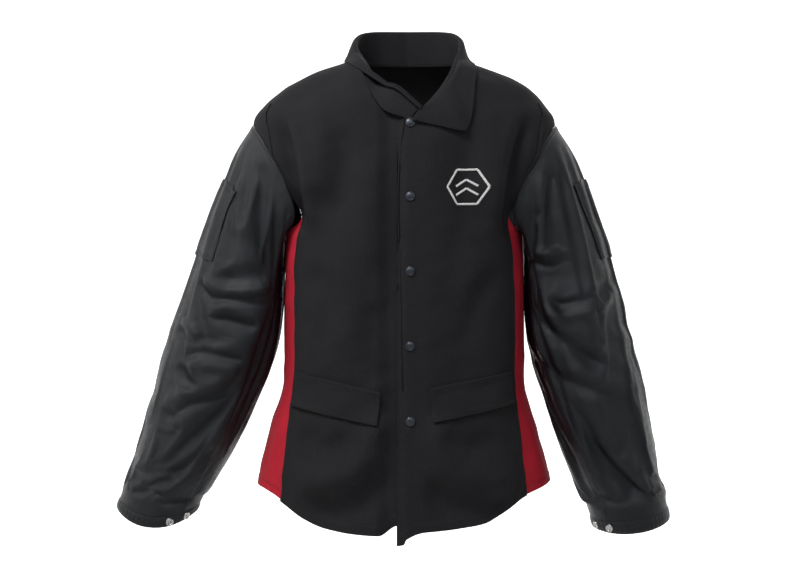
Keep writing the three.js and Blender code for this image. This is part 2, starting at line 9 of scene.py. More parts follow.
import bpy
import numpy as np
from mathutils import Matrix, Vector


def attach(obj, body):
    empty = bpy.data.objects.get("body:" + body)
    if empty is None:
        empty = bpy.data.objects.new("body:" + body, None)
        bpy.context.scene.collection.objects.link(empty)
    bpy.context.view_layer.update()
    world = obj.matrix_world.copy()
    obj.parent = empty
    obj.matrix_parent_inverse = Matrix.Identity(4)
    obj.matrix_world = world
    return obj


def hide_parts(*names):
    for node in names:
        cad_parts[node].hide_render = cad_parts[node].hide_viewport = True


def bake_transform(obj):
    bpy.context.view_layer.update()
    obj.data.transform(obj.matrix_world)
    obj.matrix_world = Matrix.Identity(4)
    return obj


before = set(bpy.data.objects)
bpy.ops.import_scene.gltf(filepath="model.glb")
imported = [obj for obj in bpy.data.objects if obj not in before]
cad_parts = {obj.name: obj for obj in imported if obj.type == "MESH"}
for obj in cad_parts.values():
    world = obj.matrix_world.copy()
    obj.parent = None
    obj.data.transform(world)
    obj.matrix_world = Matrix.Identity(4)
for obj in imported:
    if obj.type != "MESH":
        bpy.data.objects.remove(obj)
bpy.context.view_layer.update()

MM = 0.001
SIDES = {"left": 1, "right": -1}

# ---------------------------------------------------------------- dimensions, as in the CAD
CLOTH = 2.0  # cotton with its facing or lining
SEAM_GAP = 0.05  # degrees round the body between sewn neighbours
ARMHOLE_GAP = 1.2
FLAP = 2.2
FLAP_LIFT = 1.6
NECK_X = 5
EDGE_X = -11  # free edge of the overlapping wearer's-left front
SNAP_X = 9.5
UNDERLAP_X = 29
UNDERLAP_SINK = 8.2
SNAP_TOP_Z = -113
SNAP_PITCH = 117
SNAPS = 5
YOKE_Z = -150
NECK_V_Z = -106
ARM_TOP, ARM_BOTTOM, ARM_SPREAD = NECK_V_Z, -284, 36
ARM_SQUARE_TOP, ARM_SQUARE_FOOT = 2, 3  # 2 for an ellipse, more for a squarer curve
CUFF_SNAPS = {"left": [128, 158], "right": [112, 140]}
SLEEVE_SEAM = 132
SLEEVE_POCKET = {"left": 40, "right": 60}  # the pocket's front edge in degrees
CUFF_HEM = 0.966
SLEEVE_ROUND, SLEEVE_FLAT = 0.92, 0.55  # of a sleeve's section, and where it lies on the body
HIP_Z = -605  # rows follow the curved hem below this level
TORSO_TOP, TORSO_FOOT = 10, -775

# Torso sections: height, half width, half depth in front, half depth behind, squareness.
TORSO = [
    [10, 88, 62, 72, 2.0], [0, 98, 70, 80, 2.0], [-21, 153, 84, 97, 2.05],
    [-46, 203, 97, 113, 2.1], [-71, 229, 107, 122, 2.15], [-98, 247, 115, 128, 2.2],
    [-150, 250, 125, 133, 2.25], [-205, 226, 131, 135, 2.35], [-272, 194, 136, 134, 2.45],
    [-350, 196, 139, 131, 2.5], [-440, 197, 141, 128, 2.5], [-515, 196, 142, 128, 2.5],
    [-600, 219, 148, 136, 2.45], [-690, 238, 154, 145, 2.4], [-775, 247, 157, 151, 2.4],
]
# Front seams of the red side panels: height, distance from the middle.
SIDE_SEAM = [[-180, 210], [-230, 188], [-272, 171], [-350, 176], [-500, 177],
             [-600, 184], [-720, 197]]
# Neckline of the front panels: height, distance from the middle of the neck.
NECKLINE = [[0, 92], [-10, 84], [-30, 71], [-60, 57], [-76, 48], [-92, 33], [-106, 0]]
# Hem: angle round the body from the front in degrees, height on the left and on the right.
HEM = [[0, -752, -758], [8, -750, -757], [17, -746, -754], [27, -740, -747],
       [37, -724, -734], [48, -704, -715], [59, -695, -700], [72, -689, -692], [90, -686, -689],
       [112, -704, -704], [130, -728, -728], [150, -752, -752], [180, -758, -758]]
TIP_DROP, TIP_WIDTH = 15, 24  # the overlapping front's corner hangs below its hem
UNDER_RISE = 16  # the under front's hem rises towards its free edge
# Sleeves: outer edge x, z; inner edge x, z; half depth; middle's y; drop of the front.
SLEEVES = {
    "left": [
        [250, -106, 190, -284, 74, 0, 0], [288, -172, 196, -296, 80, 0, 0],
        [314, -245, 194, -327, 84, 0, 0], [341, -315, 194, -372, 85, 0, 0],
        [360, -380, 195, -430, 84, -2, 0], [377, -442, 206, -488, 82, -5, 0],
        [392, -505, 227, -546, 78, -10, 0], [406, -570, 250, -605, 72, -15, 0],
        [417, -635, 274, -663, 66, -20, 0], [424, -690, 293, -712, 61, -24, 4],
        [432, -748, 310, -764, 57, -26, 10],
    ],
    "right": [
        [250, -106, 190, -284, 74, 0, 0], [290, -172, 196, -296, 80, 0, 0],
        [319, -240, 194, -327, 84, 0, 0], [346, -310, 194, -374, 85, 0, 0],
        [369, -375, 197, -434, 84, -2, 0], [392, -437, 210, -497, 82, -5, 0],
        [409, -500, 239, -553, 78, -10, 0], [425, -565, 268, -611, 72, -15, 0],
        [441, -630, 299, -664, 66, -20, 2], [455, -686, 323, -704, 61, -24, 12],
        [467, -728, 339, -736, 58, -26, 24],
    ],
}
# Collar stations from the middle of the back to the front: x, y, z along three lines.
COLLAR = {
    "left": {
        "foot": [[0, 79, 9], [48, 66, 8], [80, 34, 5], [93, -8, 2],
                 [72, -80, -29], [57, -100, -60], [36, -111, -88], [8, -116, -103]],
        "fold": [[0, 76, 61], [46, 64, 59], [75, 34, 51], [86, -6, 30],
                 [76, -54, -14], [61, -86, -43], [43, -104, -68], [23, -114, -91]],
        "leaf": [[0, 108, 6], [60, 96, 2], [92, 55, -3], [98, 0, -5],
                 [99, -64, -50], [99, -100, -98], [88, -120, -128], [9, -121, -111]],
    },
    "right": {
        "foot": [[0, 79, 9], [48, 66, 8], [80, 34, 5], [93, -8, 2],
                 [72, -80, -29], [57, -100, -60], [33, -112, -90], [-6, -117, -103]],
        "fold": [[0, 76, 61], [46, 64, 59], [74, 34, 50], [82, -4, 28],
                 [64, -50, -12], [45, -82, -46], [20, -104, -53], [-21, -116, -89]],
        "leaf": [[0, 110, 6], [60, 98, 2], [96, 54, -3], [98, -2, -4],
                 [79, -52, -31], [51, -86, -50], [22, -108, -58], [-20, -120, -93]],
    },
}
FLAPS = {
    "left": {"x": (41, 165), "top": (-531, -507), "foot": (-583, -557)},
    "right": {"x": (37, 169), "top": (-537, -507), "foot": (-588, -560)},
}
EMBLEM_X, EMBLEM_Z, EMBLEM_R = 100, -214, 33

# ------------------------------------------------------------------- folds in the cloth
# A fold: its line as (x, z), the width and depth of its valley, and its ridge's height as a
# share of the depth. The ridge lies on the left of the line's direction, and a negative
# depth raises a soft ridge instead of a valley.
SLEEVE_FOLDS = {
    "right": [
        ([(-195, -376), (-215, -386), (-255, -390), (-295, -385), (-325, -371), (-341, -352)], 7, 10, -0.9),
        ([(-315, -362), (-255, -356), (-205, -350)], 19, 9, 0.0),
        ([(-231, -432), (-261, -425), (-288, -416), (-325, -415)], 8, 7, -0.6),
        ([(-324, -464), (-351, -446), (-374, -434)], 7, 7, -0.8),
        ([(-236, -492), (-288, -481), (-324, -474), (-364, -477)], 8, 9, 0.6),
        ([(-318, -531), (-351, -514), (-368, -490)], 10, 7, -0.4),
        ([(-266, -524), (-295, -538), (-341, -552), (-375, -570), (-400, -572)], 10, 10, -0.6),
        ([(-300, -620), (-341, -654), (-384, -662)], 14, 7, -0.3),
        ([(-265, -190), (-260, -300)], 17, -5, 0.0),
        ([(-232, -165), (-217, -262)], 16, 6, 0.0),
        ([(-330, -600), (-345, -700)], 16, -4, 0.0),
    ],
    "left": [
        ([(176, -284), (186, -314), (203, -329), (233, -333), (280, -329)], 7, 11, 0.9),
        ([(205, -352), (255, -352), (310, -340)], 17, 7, 0.0),
        ([(222, -382), (252, -397), (285, -393), (316, -381), (349, -350)], 8, 9, -0.8),
        ([(202, -392), (220, -415), (239, -448)], 9, 6, 0.5),
        ([(200, -410), (239, -441), (285, -474), (336, -494)], 9, 8, 0.7),
        ([(193, -460), (226, -494), (273, -522), (325, -537), (364, -552)], 11, 10, 0.6),
        ([(285, -580), (319, -634), (359, -681), (375, -712)], 12, 9, 0.5),
        ([(300, -130), (312, -215)], 16, -5, 0.0),
        ([(222, -185), (214, -262)], 12, -5, 0.0),
        ([(240, -180), (232, -262)], 12, 6, 0.0),
    ],
}
SLEEVE_BACK_FOLDS = [
    ([(205, -372), (262, -392), (320, -380), (352, -352)], 9, 9, -0.7),
    ([(203, -420), (262, -446), (325, -440), (368, -412)], 10, 8, 0.6),
    ([(222, -512), (290, -508), (350, -476), (385, -470)], 11, 8, 0.6),
    ([(250, -590), (320, -600), (385, -570)], 13, 8, -0.5),
    ([(300, -690), (350, -660), (400, -650)], 13, 5, 0.4),
    ([(235, -170), (226, -290)], 15, -5, 0.0),
]
FRONT_FOLDS = [
    ([(-204, -84), (-186, -150), (-172, -232), (-166, -300)], 11, 15, 0.55),
    ([(206, -84), (184, -141), (168, -226), (160, -310)], 11, 15, -0.55),
    ([(-150, -50), (-134, -150), (-140, -250)], 24, -9, 0.0),
    ([(-104, -110), (-98, -190), (-108, -280)], 20, 7, 0.0),
    ([(-56, -150), (-60, -260), (-52, -360)], 24, -6, 0.0),
    ([(150, -70), (134, -160), (130, -270)], 22, -8, 0.0),
    ([(96, -120), (100, -220), (92, -300)], 22, 5, 0.0),
    ([(70, -270), (84, -350), (78, -460)], 26, 6, 0.0),
    ([(156, -330), (118, -394), (93, -481)], 18, 6, -0.6),
    ([(-156, -330), (-120, -400), (-128, -490)], 20, 6, 0.5),
    ([(-40, -380), (-48, -460), (-40, -540)], 22, 5, 0.0),
    ([(-190, -640), (-140, -676), (-84, -664), (-44, -600), (-26, -560)], 24, -13, 0.0),
    ([(-176, -700), (-110, -724), (-50, -700), (-24, -640)], 22, 9, 0.0),
    ([(-170, -596), (-120, -622), (-80, -606)], 18, 6, 0.0),
    ([(28, -560), (52, -610), (84, -660), (140, -676), (186, -640)], 26, -12, 0.0),
    ([(34, -660), (60, -706), (120, -722), (176, -694)], 22, 9, 0.0),
    ([(60, -590), (100, -622), (160, -600)], 18, 6, 0.0),
]
BACK_FOLDS = [
    ([(-95, -165), (-84, -300), (-92, -450)], 26, 6, 0.5),
    ([(88, -165), (96, -300), (80, -470)], 26, 6, -0.5),
    ([(-150, -330), (-60, -372), (20, -362)], 18, 5, 0.6),
    ([(150, -392), (70, -430), (-10, -420)], 18, 5, -0.6),
    ([(-150, -520), (-90, -600), (-70, -720)], 26, -6, 0.0),
    ([(140, -520), (96, -610), (84, -730)], 26, -6, 0.0),
    ([(0, -560), (8, -730)], 30, 6, 0.0),
    ([(-182, -110), (-176, -200)], 12, 7, 0.5),
    ([(182, -110), (176, -200)], 12, 7, -0.5),
]


# ------------------------------------------------------------------------------- helpers
def lerp(a, b, t):
    return a + (b - a) * t


def ease(t):
    t = np.clip(t, 0, 1)
    return t * t * (3 - 2 * t)


def unit(v):
    return v / np.maximum(np.linalg.norm(v, axis=-1, keepdims=True), 1e-9)


def signed_power(v, power):
    return np.sign(v) * np.abs(v) ** power


def smooth_curve(table):
    """Reads a table's other columns smoothly at a value of its first: Hermite, limited slopes."""
    rows = np.array(sorted(table), float)
    knots, values = rows[:, 0], rows[:, 1:]
    widths = np.diff(knots)[:, None]
    rises = np.diff(values, axis=0) / widths
    before, after = rises[:-1], rises[1:]
    agree = before * after > 0
    inner = np.where(agree, 2 * before * after / np.where(agree, before + after, 1), 0)
    slopes = np.vstack([rises[:1], inner, rises[-1:]])

    def read(at):
        at = np.clip(np.asarray(at, float), knots[0], knots[-1])
        i = np.clip(np.searchsorted(knots, at, side="right") - 1, 0, len(widths) - 1)
        width = widths[i]
        t = ((at - knots[i]) / width[..., 0])[..., None]
        t2, t3 = t * t, t * t * t
        start = (2 * t3 - 3 * t2 + 1) * values[i] + (t3 - 2 * t2 + t) * width * slopes[i]
        return start + (3 * t2 - 2 * t3) * values[i + 1] + (t3 - t2) * width * slopes[i + 1]

    return read


def spread(length, coarse, fine, zone):
    """Shares from 0 to 1 along a length, fine within a zone at both ends and coarse between."""
    edge = np.arange(0, zone, fine)
    middle = np.linspace(zone, length - zone, max(2, int((length - 2 * zone) / coarse) + 1))
    return np.concatenate([edge, middle, length - edge[::-1]]) / length


def waves(points, wavelength, seed, count=18):
    """Smooth noise of about unit size: plane waves in random directions."""
    random = np.random.default_rng(seed)
    total = np.zeros(points.shape[:-1])
    for _ in range(count):
        way = unit(random.normal(size=3)) * random.uniform(0.7, 1.4) * 2 * math.pi / wavelength
        total += np.sin(points @ way + random.uniform(0, 2 * math.pi))
    return total / math.sqrt(count / 2)


def fold_push(points, fold):
    """How far one fold moves each point along its normal, seen as (x, z)."""
    path, width, depth, ridge = fold
    path = np.array(path, float)
    line = smooth_curve([[i, *p] for i, p in enumerate(path)])(np.linspace(0, len(path) - 1, 25))
    flat = points[..., [0, 2]]
    nearest = np.full(flat.shape[:-1], np.inf)
    aside = np.zeros_like(nearest)
    share = np.zeros_like(nearest)
    for i, (start, end) in enumerate(zip(line[:-1], line[1:])):
        run = end - start
        t = np.clip(((flat - start) @ run) / (run @ run), 0, 1)
        away = flat - start - t[..., None] * run
        distance = np.linalg.norm(away, axis=-1)
        closer = distance < nearest
        side = np.sign(run[0] * away[..., 1] - run[1] * away[..., 0])
        nearest = np.where(closer, distance, nearest)
        aside = np.where(closer, distance * side, aside)
        share = np.where(closer, (i + t) / (len(line) - 1), share)
    fade = ease(share / 0.25) * ease((1 - share) / 0.25)
    valley = -depth * np.exp(-((aside / width) ** 2))
    top = math.copysign(1.9 * width, ridge)
    crest = abs(ridge) * depth * np.exp(-(((aside - top) / (1.3 * width)) ** 2))
    return fade * (valley + crest)


# --------------------------------------------------------------------------------- torso
torso_at = smooth_curve(TORSO)
seam_at = smooth_curve(SIDE_SEAM)
neckline_at = smooth_curve(NECKLINE)
hem_at = smooth_curve(HEM)


def neck_shift(z):
    return NECK_X * ease((z + 120) / 120)


def torso(degrees, z):
    """A point of the torso; degrees run from the front over the wearer's left."""
    degrees, z = np.broadcast_arrays(np.asarray(degrees, float), np.asarray(z, float))
    half, front, back, power = np.moveaxis(torso_at(z), -1, 0)
    s, c = np.sin(np.radians(degrees)), np.cos(np.radians(degrees))
    x = neck_shift(z) + half * signed_power(s, 2 / power)
    y = -np.where(c > 0, front, back) * signed_power(c, 2 / power)
    return np.stack([x, y, z], -1)


def angle_at(x, z):
    """The angle whose torso point lies that far from the neck's middle, on the front."""
    half, _, _, power = np.moveaxis(torso_at(z), -1, 0)
    share = np.minimum(1, np.abs(x) / half)
    return np.sign(x) * np.degrees(np.arcsin(share ** (power / 2)))


def angle_on(x, z):
    return angle_at(x - neck_shift(z), z)


def seam_angle(z):
    return angle_at(seam_at(z)[..., 0], z)


def armhole_angle(z):
    """The armhole's edge on the front quarter, as an angle at a height."""
    height = 1 - 2 * (z - ARM_TOP) / (ARM_BOTTOM - ARM_TOP)
    power = np.where(height > 0, ARM_SQUARE_TOP, ARM_SQUARE_FOOT)
    return 90 - ARM_SPREAD * np.maximum(0, 1 - np.abs(height) ** power) ** (1 / power)


def armhole_foot(degrees):
    """The height of the armhole's lower edge at an angle round the body."""
    aside = np.minimum(1, np.abs(90 - degrees) / ARM_SPREAD)
    height = (1 - aside ** ARM_SQUARE_FOOT) ** (1 / ARM_SQUARE_FOOT)
    return lerp(ARM_TOP, ARM_BOTTOM, (1 + height) / 2)


def armhole_z(turn):
    return lerp(ARM_TOP, ARM_BOTTOM, (1 - np.cos(turn)) / 2)


def find_seam_top():
    """The level where a side panel's seam runs into the armhole."""
    z = (ARM_TOP + ARM_BOTTOM) / 2
    while armhole_angle(z) < seam_angle(z):
        z -= 0.25
    return z


SEAM_TOP = find_seam_top()


def panel_edge(z):
    """Where a front or back panel ends on its side, as an angle on the front quarter."""
    return np.where(z > SEAM_TOP, armhole_angle(z), seam_angle(z)) - SEAM_GAP


def hem_z(degrees):
    """The hem's height; degrees run from the front over the wearer's left."""
    turn = (degrees + 180) % 360 - 180
    left, right = np.moveaxis(hem_at(np.abs(turn)), -1, 0)
    return np.where(turn > 0, left, right)


def clear_of_torso(points, clearance, rise):
    """Moves points out and up until they stand clear of the torso."""
    flat = points.reshape(-1, 3).copy()
    active = np.arange(len(flat))
    for _ in range(120):
        p = flat[active]
        half, front, back, power = np.moveaxis(torso_at(p[:, 2]), -1, 0)
        x = p[:, 0] - neck_shift(p[:, 2])
        depth = np.where(p[:, 1] < 0, front, back) + clearance
        inside = np.abs(x / (half + clearance)) ** power + np.abs(p[:, 1] / depth) ** power <= 1
        active = active[inside & (p[:, 2] <= TORSO_TOP)]
        if not len(active):
            break
        keep = inside & (p[:, 2] <= TORSO_TOP)
        out = unit(np.stack([x / (half + clearance), p[:, 1] / depth, np.zeros(len(p))], -1)[keep])
        out[:, 2] = rise
        flat[active] += 0.5 * unit(out)
    return flat.reshape(points.shape)


# -------------------------------------------------------------------------------- sleeves
def sleeve_section(name, at, degrees):
    """A section of a sleeve before it is joined to the armhole."""
    side = SIDES[name]
    ox, oz, ix, iz, depth, middle, drop = np.moveaxis(sleeve_at[name](at), -1, 0)
    s, c = np.sin(np.radians(degrees)), np.cos(np.radians(degrees))
    inner = lerp(SLEEVE_FLAT, SLEEVE_ROUND, ease((at - 4) / 3))
    across = (1 + signed_power(c, np.where(c < 0, inner, SLEEVE_ROUND))) / 2
    y = middle - depth * signed_power(s, SLEEVE_ROUND)
    z = lerp(iz, oz, across) - drop * np.maximum(0, s) * np.abs(s)
    return np.stack([side * lerp(ix, ox, across), y, z], -1)


sleeve_at = {name: smooth_curve([[i, *row] for i, row in enumerate(SLEEVES[name])]) for name in SLEEVES}


def sleeve(name, share, degrees):
    """A point of a sleeve: share of its length, degrees from the outermost line to the front."""
    share, degrees = np.broadcast_arrays(np.asarray(share, float), np.asarray(degrees, float))
    side = SIDES[name]
    last = len(SLEEVES[name]) - 1
    p = sleeve_section(name, share * last, degrees)
    fade = (1 - ease(share * last / 2.6))[..., None]
    z = armhole_z(np.abs(np.radians(degrees)))
    edge = armhole_angle(z)
    ring = torso(side * np.where(degrees >= 0, edge, 180 - edge), z)
    ring[..., 0] += side * 2.0
    ring[..., 2] -= 0.5
    p = p + fade * (ring - sleeve_section(name, 0 * share, degrees))
    cleared = clear_of_torso(p, 0.9, 0)
    near = (share > 0) & (p[..., 2] > -520)
    return np.where(near[..., None], cleared, p)


# ---------------------------------------------------------------------- draped surfaces
def grid_normals(grid, wrap=False):
    """Unit normals of a grid, pointing out of the body."""
    down = np.gradient(grid, axis=0)
    if wrap:
        across = np.roll(grid, -1, 1) - np.roll(grid, 1, 1)
    else:
        across = np.gradient(grid, axis=1)
    return unit(np.cross(down, across))


class Draped:
    """A smooth shape of two parameters with its folds: offsets kept on a grid."""

    def __init__(self, shape, rows, columns, wrap=True):
        self.shape, self.rows, self.columns, self.wrap = shape, rows, columns, wrap
        self.base = shape(rows[:, None], columns[None, :])
        self.offset = np.zeros_like(self.base)

    def push(self, amount, outwards=None):
        normals = grid_normals(self.base, self.wrap) if outwards is None else outwards
        self.offset += normals * np.asarray(amount)[..., None]

    def read(self, row, column):
        """The offset between the grid's points, by a cubic through four of them each way."""
        r = np.interp(row, self.rows, np.arange(len(self.rows)))
        step = self.columns[1] - self.columns[0]
        c = (column - self.columns[0]) / step
        count = len(self.columns)
        total = 0
        ri, ci = np.floor(r).astype(int), np.floor(c).astype(int)
        for i, wi in enumerate(cubic_weights(r - ri)):
            rows = np.clip(ri + i - 1, 0, len(self.rows) - 1)
            for j, wj in enumerate(cubic_weights(c - ci)):
                columns = (ci + j - 1) % count
                total = total + (wi * wj)[..., None] * self.offset[rows, columns]
        return total

    def at(self, row, column):
        row, column = np.broadcast_arrays(np.asarray(row, float), np.asarray(column, float))
        return self.shape(row, column) + self.read(row, column)


def cubic_weights(t):
    """Catmull-Rom weights of the four points round a place between two."""
    t2, t3 = t * t, t * t * t
    return [(-t + 2 * t2 - t3) / 2, (2 - 5 * t2 + 3 * t3) / 2, (t + 4 * t2 - 3 * t3) / 2, (t3 - t2) / 2]


def torso_shape(z, degrees):
    return torso(degrees, z)


def drape_torso():
    """The torso's folds: the listed ones in front and behind, and loose ones all over."""
    body = Draped(torso_shape, np.arange(TORSO_TOP, TORSO_FOOT - 1, -5.0),
                  np.arange(-180, 180, 1.5))
    body.rows = body.rows[::-1]
    body.base, body.offset = body.base[::-1], body.offset[::-1]
    p = body.base
    facing = -np.cos(np.radians(body.columns))[None, :]
    front, back = ease(-facing / 0.35), ease(facing / 0.35)
    push = sum(fold_push(p, fold) for fold in FRONT_FOLDS) * front
    push = push + sum(fold_push(p, fold) for fold in BACK_FOLDS) * back
    stretched = p * np.array([1, 1, 0.45])
    push += waves(stretched, 95, seed=3) * 1.5 * (0.4 + 0.6 * np.maximum(front, back))
    push += waves(p, 42, seed=4) * 0.35
    flutes = np.sin(np.radians(body.columns)[None, :] * 9 + p[..., 2] / 60) * ease((-p[..., 2] - 480) / 200)
    push += 1.6 * flutes * (1 - 0.7 * front)
    calm = 1 - np.exp(-((p[..., 0] - SNAP_X) / 24) ** 2) * front
    calm *= 1 - 0.9 * np.exp(-((p[..., 2] - ARM_TOP) / 20) ** 2) * (1 - np.abs(facing))
    push = push * calm * ease((-2 - p[..., 2]) / 30)
    beside = (1 - np.maximum(front, back)) * ease((p[..., 2] + 500) / 60)
    push = np.where(push > 0, push * (1 - beside), push)
    body.push(push, -grid_normals(p, True))
    return body


def drape_sleeve(name):
    """A sleeve's creases in front and behind, with loose ones where it bends."""
    side = SIDES[name]

    def shape(share, turn):
        return sleeve(name, share, -side * turn)

    sleeve_body = Draped(shape, np.linspace(0, 1, 141), np.arange(-180, 180, 3.0))
    p = sleeve_body.base
    forward = np.sin(np.radians(-side * sleeve_body.columns))[None, :]
    front, back = ease((forward + 0.25) / 0.4), ease((0.1 - forward) / 0.4)
    behind = [([(side * x, z) for x, z in path], w, d, r * side) for path, w, d, r in SLEEVE_BACK_FOLDS]
    push = sum(fold_push(p, fold) for fold in SLEEVE_FOLDS[name]) * front
    push = push + sum(fold_push(p, fold) for fold in behind) * back
    share = sleeve_body.rows[:, None]
    bend = ease((share - 0.1) / 0.2)
    across = p * np.array([0.5, 0.6, 1.25])
    push += waves(across, 60, seed=11 + side) * 0.8 * bend
    push += waves(p, 24, seed=21 + side) * 0.22 * bend
    held = ease(share / 0.06) * (1 - 0.8 * ease((share - 0.93) / 0.05))
    inner = ease((np.cos(np.radians(sleeve_body.columns))[None, :] + 0.75) / 0.5)
    near_body = (1 - inner) * ease((p[..., 2] + 560) / 60)
    push = np.where(push < 0, push, push * (1 - near_body))
    sleeve_body.push(push * held)
    return sleeve_body


def blurred(field, rows, columns):
    """A grid's field averaged over so many cells, three times over; its columns wrap round."""
    for _ in range(3):
        for axis, reach in ((0, rows), (1, columns)):
            if axis == 0:
                padded = np.concatenate([field[:1]] * reach + [field] + [field[-1:]] * reach)
                field = sum(padded[i:i + len(field)] for i in range(2 * reach + 1)) / (2 * reach + 1)
            else:
                field = sum(np.roll(field, i, 1) for i in range(-reach, reach + 1)) / (2 * reach + 1)
    return field


SETTLE_FRAMES = 26
SETTLE_LIMIT = 9.0  # the furthest that settling may move the leather


def settle(surface, name):
    """Slack leather, too long for its sleeve, buckles into creases: a cloth simulation."""
    start = surface.base + surface.offset
    rows, columns = start.shape[:2]
    skin = make_mesh(f"settling_{name}", start.reshape(-1, 3), grid_faces(rows, columns, True))
    held = skin.vertex_groups.new(name="held")
    for row in list(range(4)) + list(range(rows - 7, rows)):
        held.add(list(range(row * columns, (row + 1) * columns)), 1.0, "REPLACE")
    cloth = skin.modifiers.new("settling", "CLOTH")
    cloth.settings.vertex_group_mass = "held"
    cloth.settings.quality = 8
    cloth.settings.mass = 0.4
    cloth.settings.tension_stiffness = 30
    cloth.settings.compression_stiffness = 30
    cloth.settings.shear_stiffness = 12
    cloth.settings.bending_stiffness = 1.2
    cloth.settings.air_damping = 2.0
    cloth.settings.shrink_min = -0.05
    cloth.settings.use_pressure = True
    cloth.settings.uniform_pressure_force = 1.2
    cloth.settings.effector_weights.gravity = 0.35
    cloth.collision_settings.use_collision = False
    cloth.collision_settings.use_self_collision = False
    cloth.point_cache.frame_start = 1
    cloth.point_cache.frame_end = SETTLE_FRAMES
    for i in range(1, SETTLE_FRAMES + 1):
        bpy.context.scene.frame_set(i)
    settled = skin.evaluated_get(bpy.context.evaluated_depsgraph_get()).data
    moved = np.empty(rows * columns * 3, np.float32)
    settled.vertices.foreach_get("co", moved)
    moved = moved.reshape(rows, columns, 3) / MM - start
    bpy.data.objects.remove(skin)
    bpy.context.scene.frame_set(1)
    creases = 0.8 * (moved - 0.85 * blurred(moved, 9, 7))
    share = surface.rows[:, None, None]
    creases = creases * ease((share - 0.01) / 0.12) * (1 - ease((share - 0.88) / 0.06))
    size = np.linalg.norm(creases, axis=-1, keepdims=True)
    surface.offset += creases * np.tanh(size / SETTLE_LIMIT) * SETTLE_LIMIT / np.maximum(size, 1e-6)


# --------------------------------------------------------------------------------- mesh
def make_mesh(name, points, faces, uv=None):
    """A mesh object from millimetre points; uv holds one pair per point."""
    mesh = bpy.data.meshes.new(name)
    faces = np.asarray(faces)
    mesh.vertices.add(len(points))
    mesh.vertices.foreach_set("co", (np.asarray(points) * MM).astype(np.float32).ravel())
    corners = faces.shape[1]
    mesh.loops.add(faces.size)
    mesh.loops.foreach_set("vertex_index", faces.astype(np.int32).ravel())
    mesh.polygons.add(len(faces))
    mesh.polygons.foreach_set("loop_start", np.arange(0, faces.size, corners, dtype=np.int32))
    mesh.polygons.foreach_set("use_smooth", np.full(len(faces), True))
    mesh.update(calc_edges=True)
    if uv is not None:
        layer = mesh.uv_layers.new(name="cloth")
        layer.data.foreach_set("uv", (np.asarray(uv)[faces.ravel()] * MM).astype(np.float32).ravel())
    obj = bpy.data.objects.new(name, mesh)
    bpy.context.scene.collection.objects.link(obj)
    return obj


def grid_faces(rows, columns, wrap=False):
    """Quads of a grid, wound so that they face where grid_normals() points."""
    i, j = np.meshgrid(np.arange(rows - 1), np.arange(columns if wrap else columns - 1), indexing="ij")
    k = (j + 1) % columns
    a, b, c, d = i * columns + j, i * columns + k, (i + 1) * columns + k, (i + 1) * columns + j
    return np.stack([a, d, c, b], -1).reshape(-1, 4)


def cloth_uv(grid):
    """Lengths along a grid's rows and columns, in millimetres."""
    across = np.linalg.norm(np.diff(grid, axis=1), axis=-1).mean(0)
    down = np.linalg.norm(np.diff(grid, axis=0), axis=-1).mean(1)
    u = np.concatenate([[0], np.cumsum(across)])
    v = -np.concatenate([[0], np.cumsum(down)])
    return np.stack(np.meshgrid(u, v), -1)


RIM_TURNS = np.radians([45, 90, 135])


def shell(name, grid, thickness, uv=None):
    """A sheet with rounded edges: outer points, thickened inwards."""
    rows, columns = grid.shape[:2]
    normals = grid_normals(grid)
    uv = cloth_uv(grid) if uv is None else uv
    inner = grid - normals * np.broadcast_to(np.asarray(thickness, float), grid.shape[:2])[..., None]
    points = [grid.reshape(-1, 3), inner.reshape(-1, 3)]
    coords = [uv.reshape(-1, 2), uv.reshape(-1, 2)]
    skin = grid_faces(rows, columns)
    faces = [skin, skin[:, ::-1] + rows * columns]
    loop = ([(0, j) for j in range(columns)] + [(i, columns - 1) for i in range(1, rows)]
            + [(rows - 1, j) for j in range(columns - 2, -1, -1)]
            + [(i, 0) for i in range(rows - 2, 0, -1)])
    i, j = np.array(loop).T
    down = unit(np.gradient(grid, axis=0))
    right = unit(np.gradient(grid, axis=1))
    out = down[i, j] * ((i == rows - 1) * 1.0 - (i == 0))[:, None]
    out = unit(out + right[i, j] * ((j == columns - 1) * 1.0 - (j == 0))[:, None])
    half = np.linalg.norm(grid[i, j] - inner[i, j], axis=-1)[:, None] / 2
    middle = (grid[i, j] + inner[i, j]) / 2
    start = i * columns + j
    layers = [start]
    count = 2 * rows * columns
    for turn in RIM_TURNS:
        points.append(middle + half * (math.cos(turn) * normals[i, j] + math.sin(turn) * out))
        coords.append(uv[i, j])
        layers.append(np.arange(count, count + len(i)))
        count += len(i)
    layers.append(start + rows * columns)
    for upper, lower in zip(layers[:-1], layers[1:]):
        faces.append(np.stack([upper, np.roll(upper, -1), np.roll(lower, -1), lower], -1))
    return make_mesh(name, np.vstack(points), np.vstack(faces), np.vstack(coords))


def edge_distance(grid, edge):
    """Each point's distance from an edge of the grid, measured along the cloth."""
    axis = 1 if edge in ("left", "right") else 0
    steps = np.linalg.norm(np.diff(grid, axis=axis), axis=-1)
    run = np.concatenate([np.zeros_like(np.take(steps, [0], axis)), np.cumsum(steps, axis)], axis)
    if edge in ("right", "bottom"):
        run = np.take(run, [-1], axis) - run
    return run


def facing_out(grid, side):
    """Columns turned round on the right side, so that the cloth's outer face stays outside."""
    return grid[:, ::-1] if side < 0 else grid


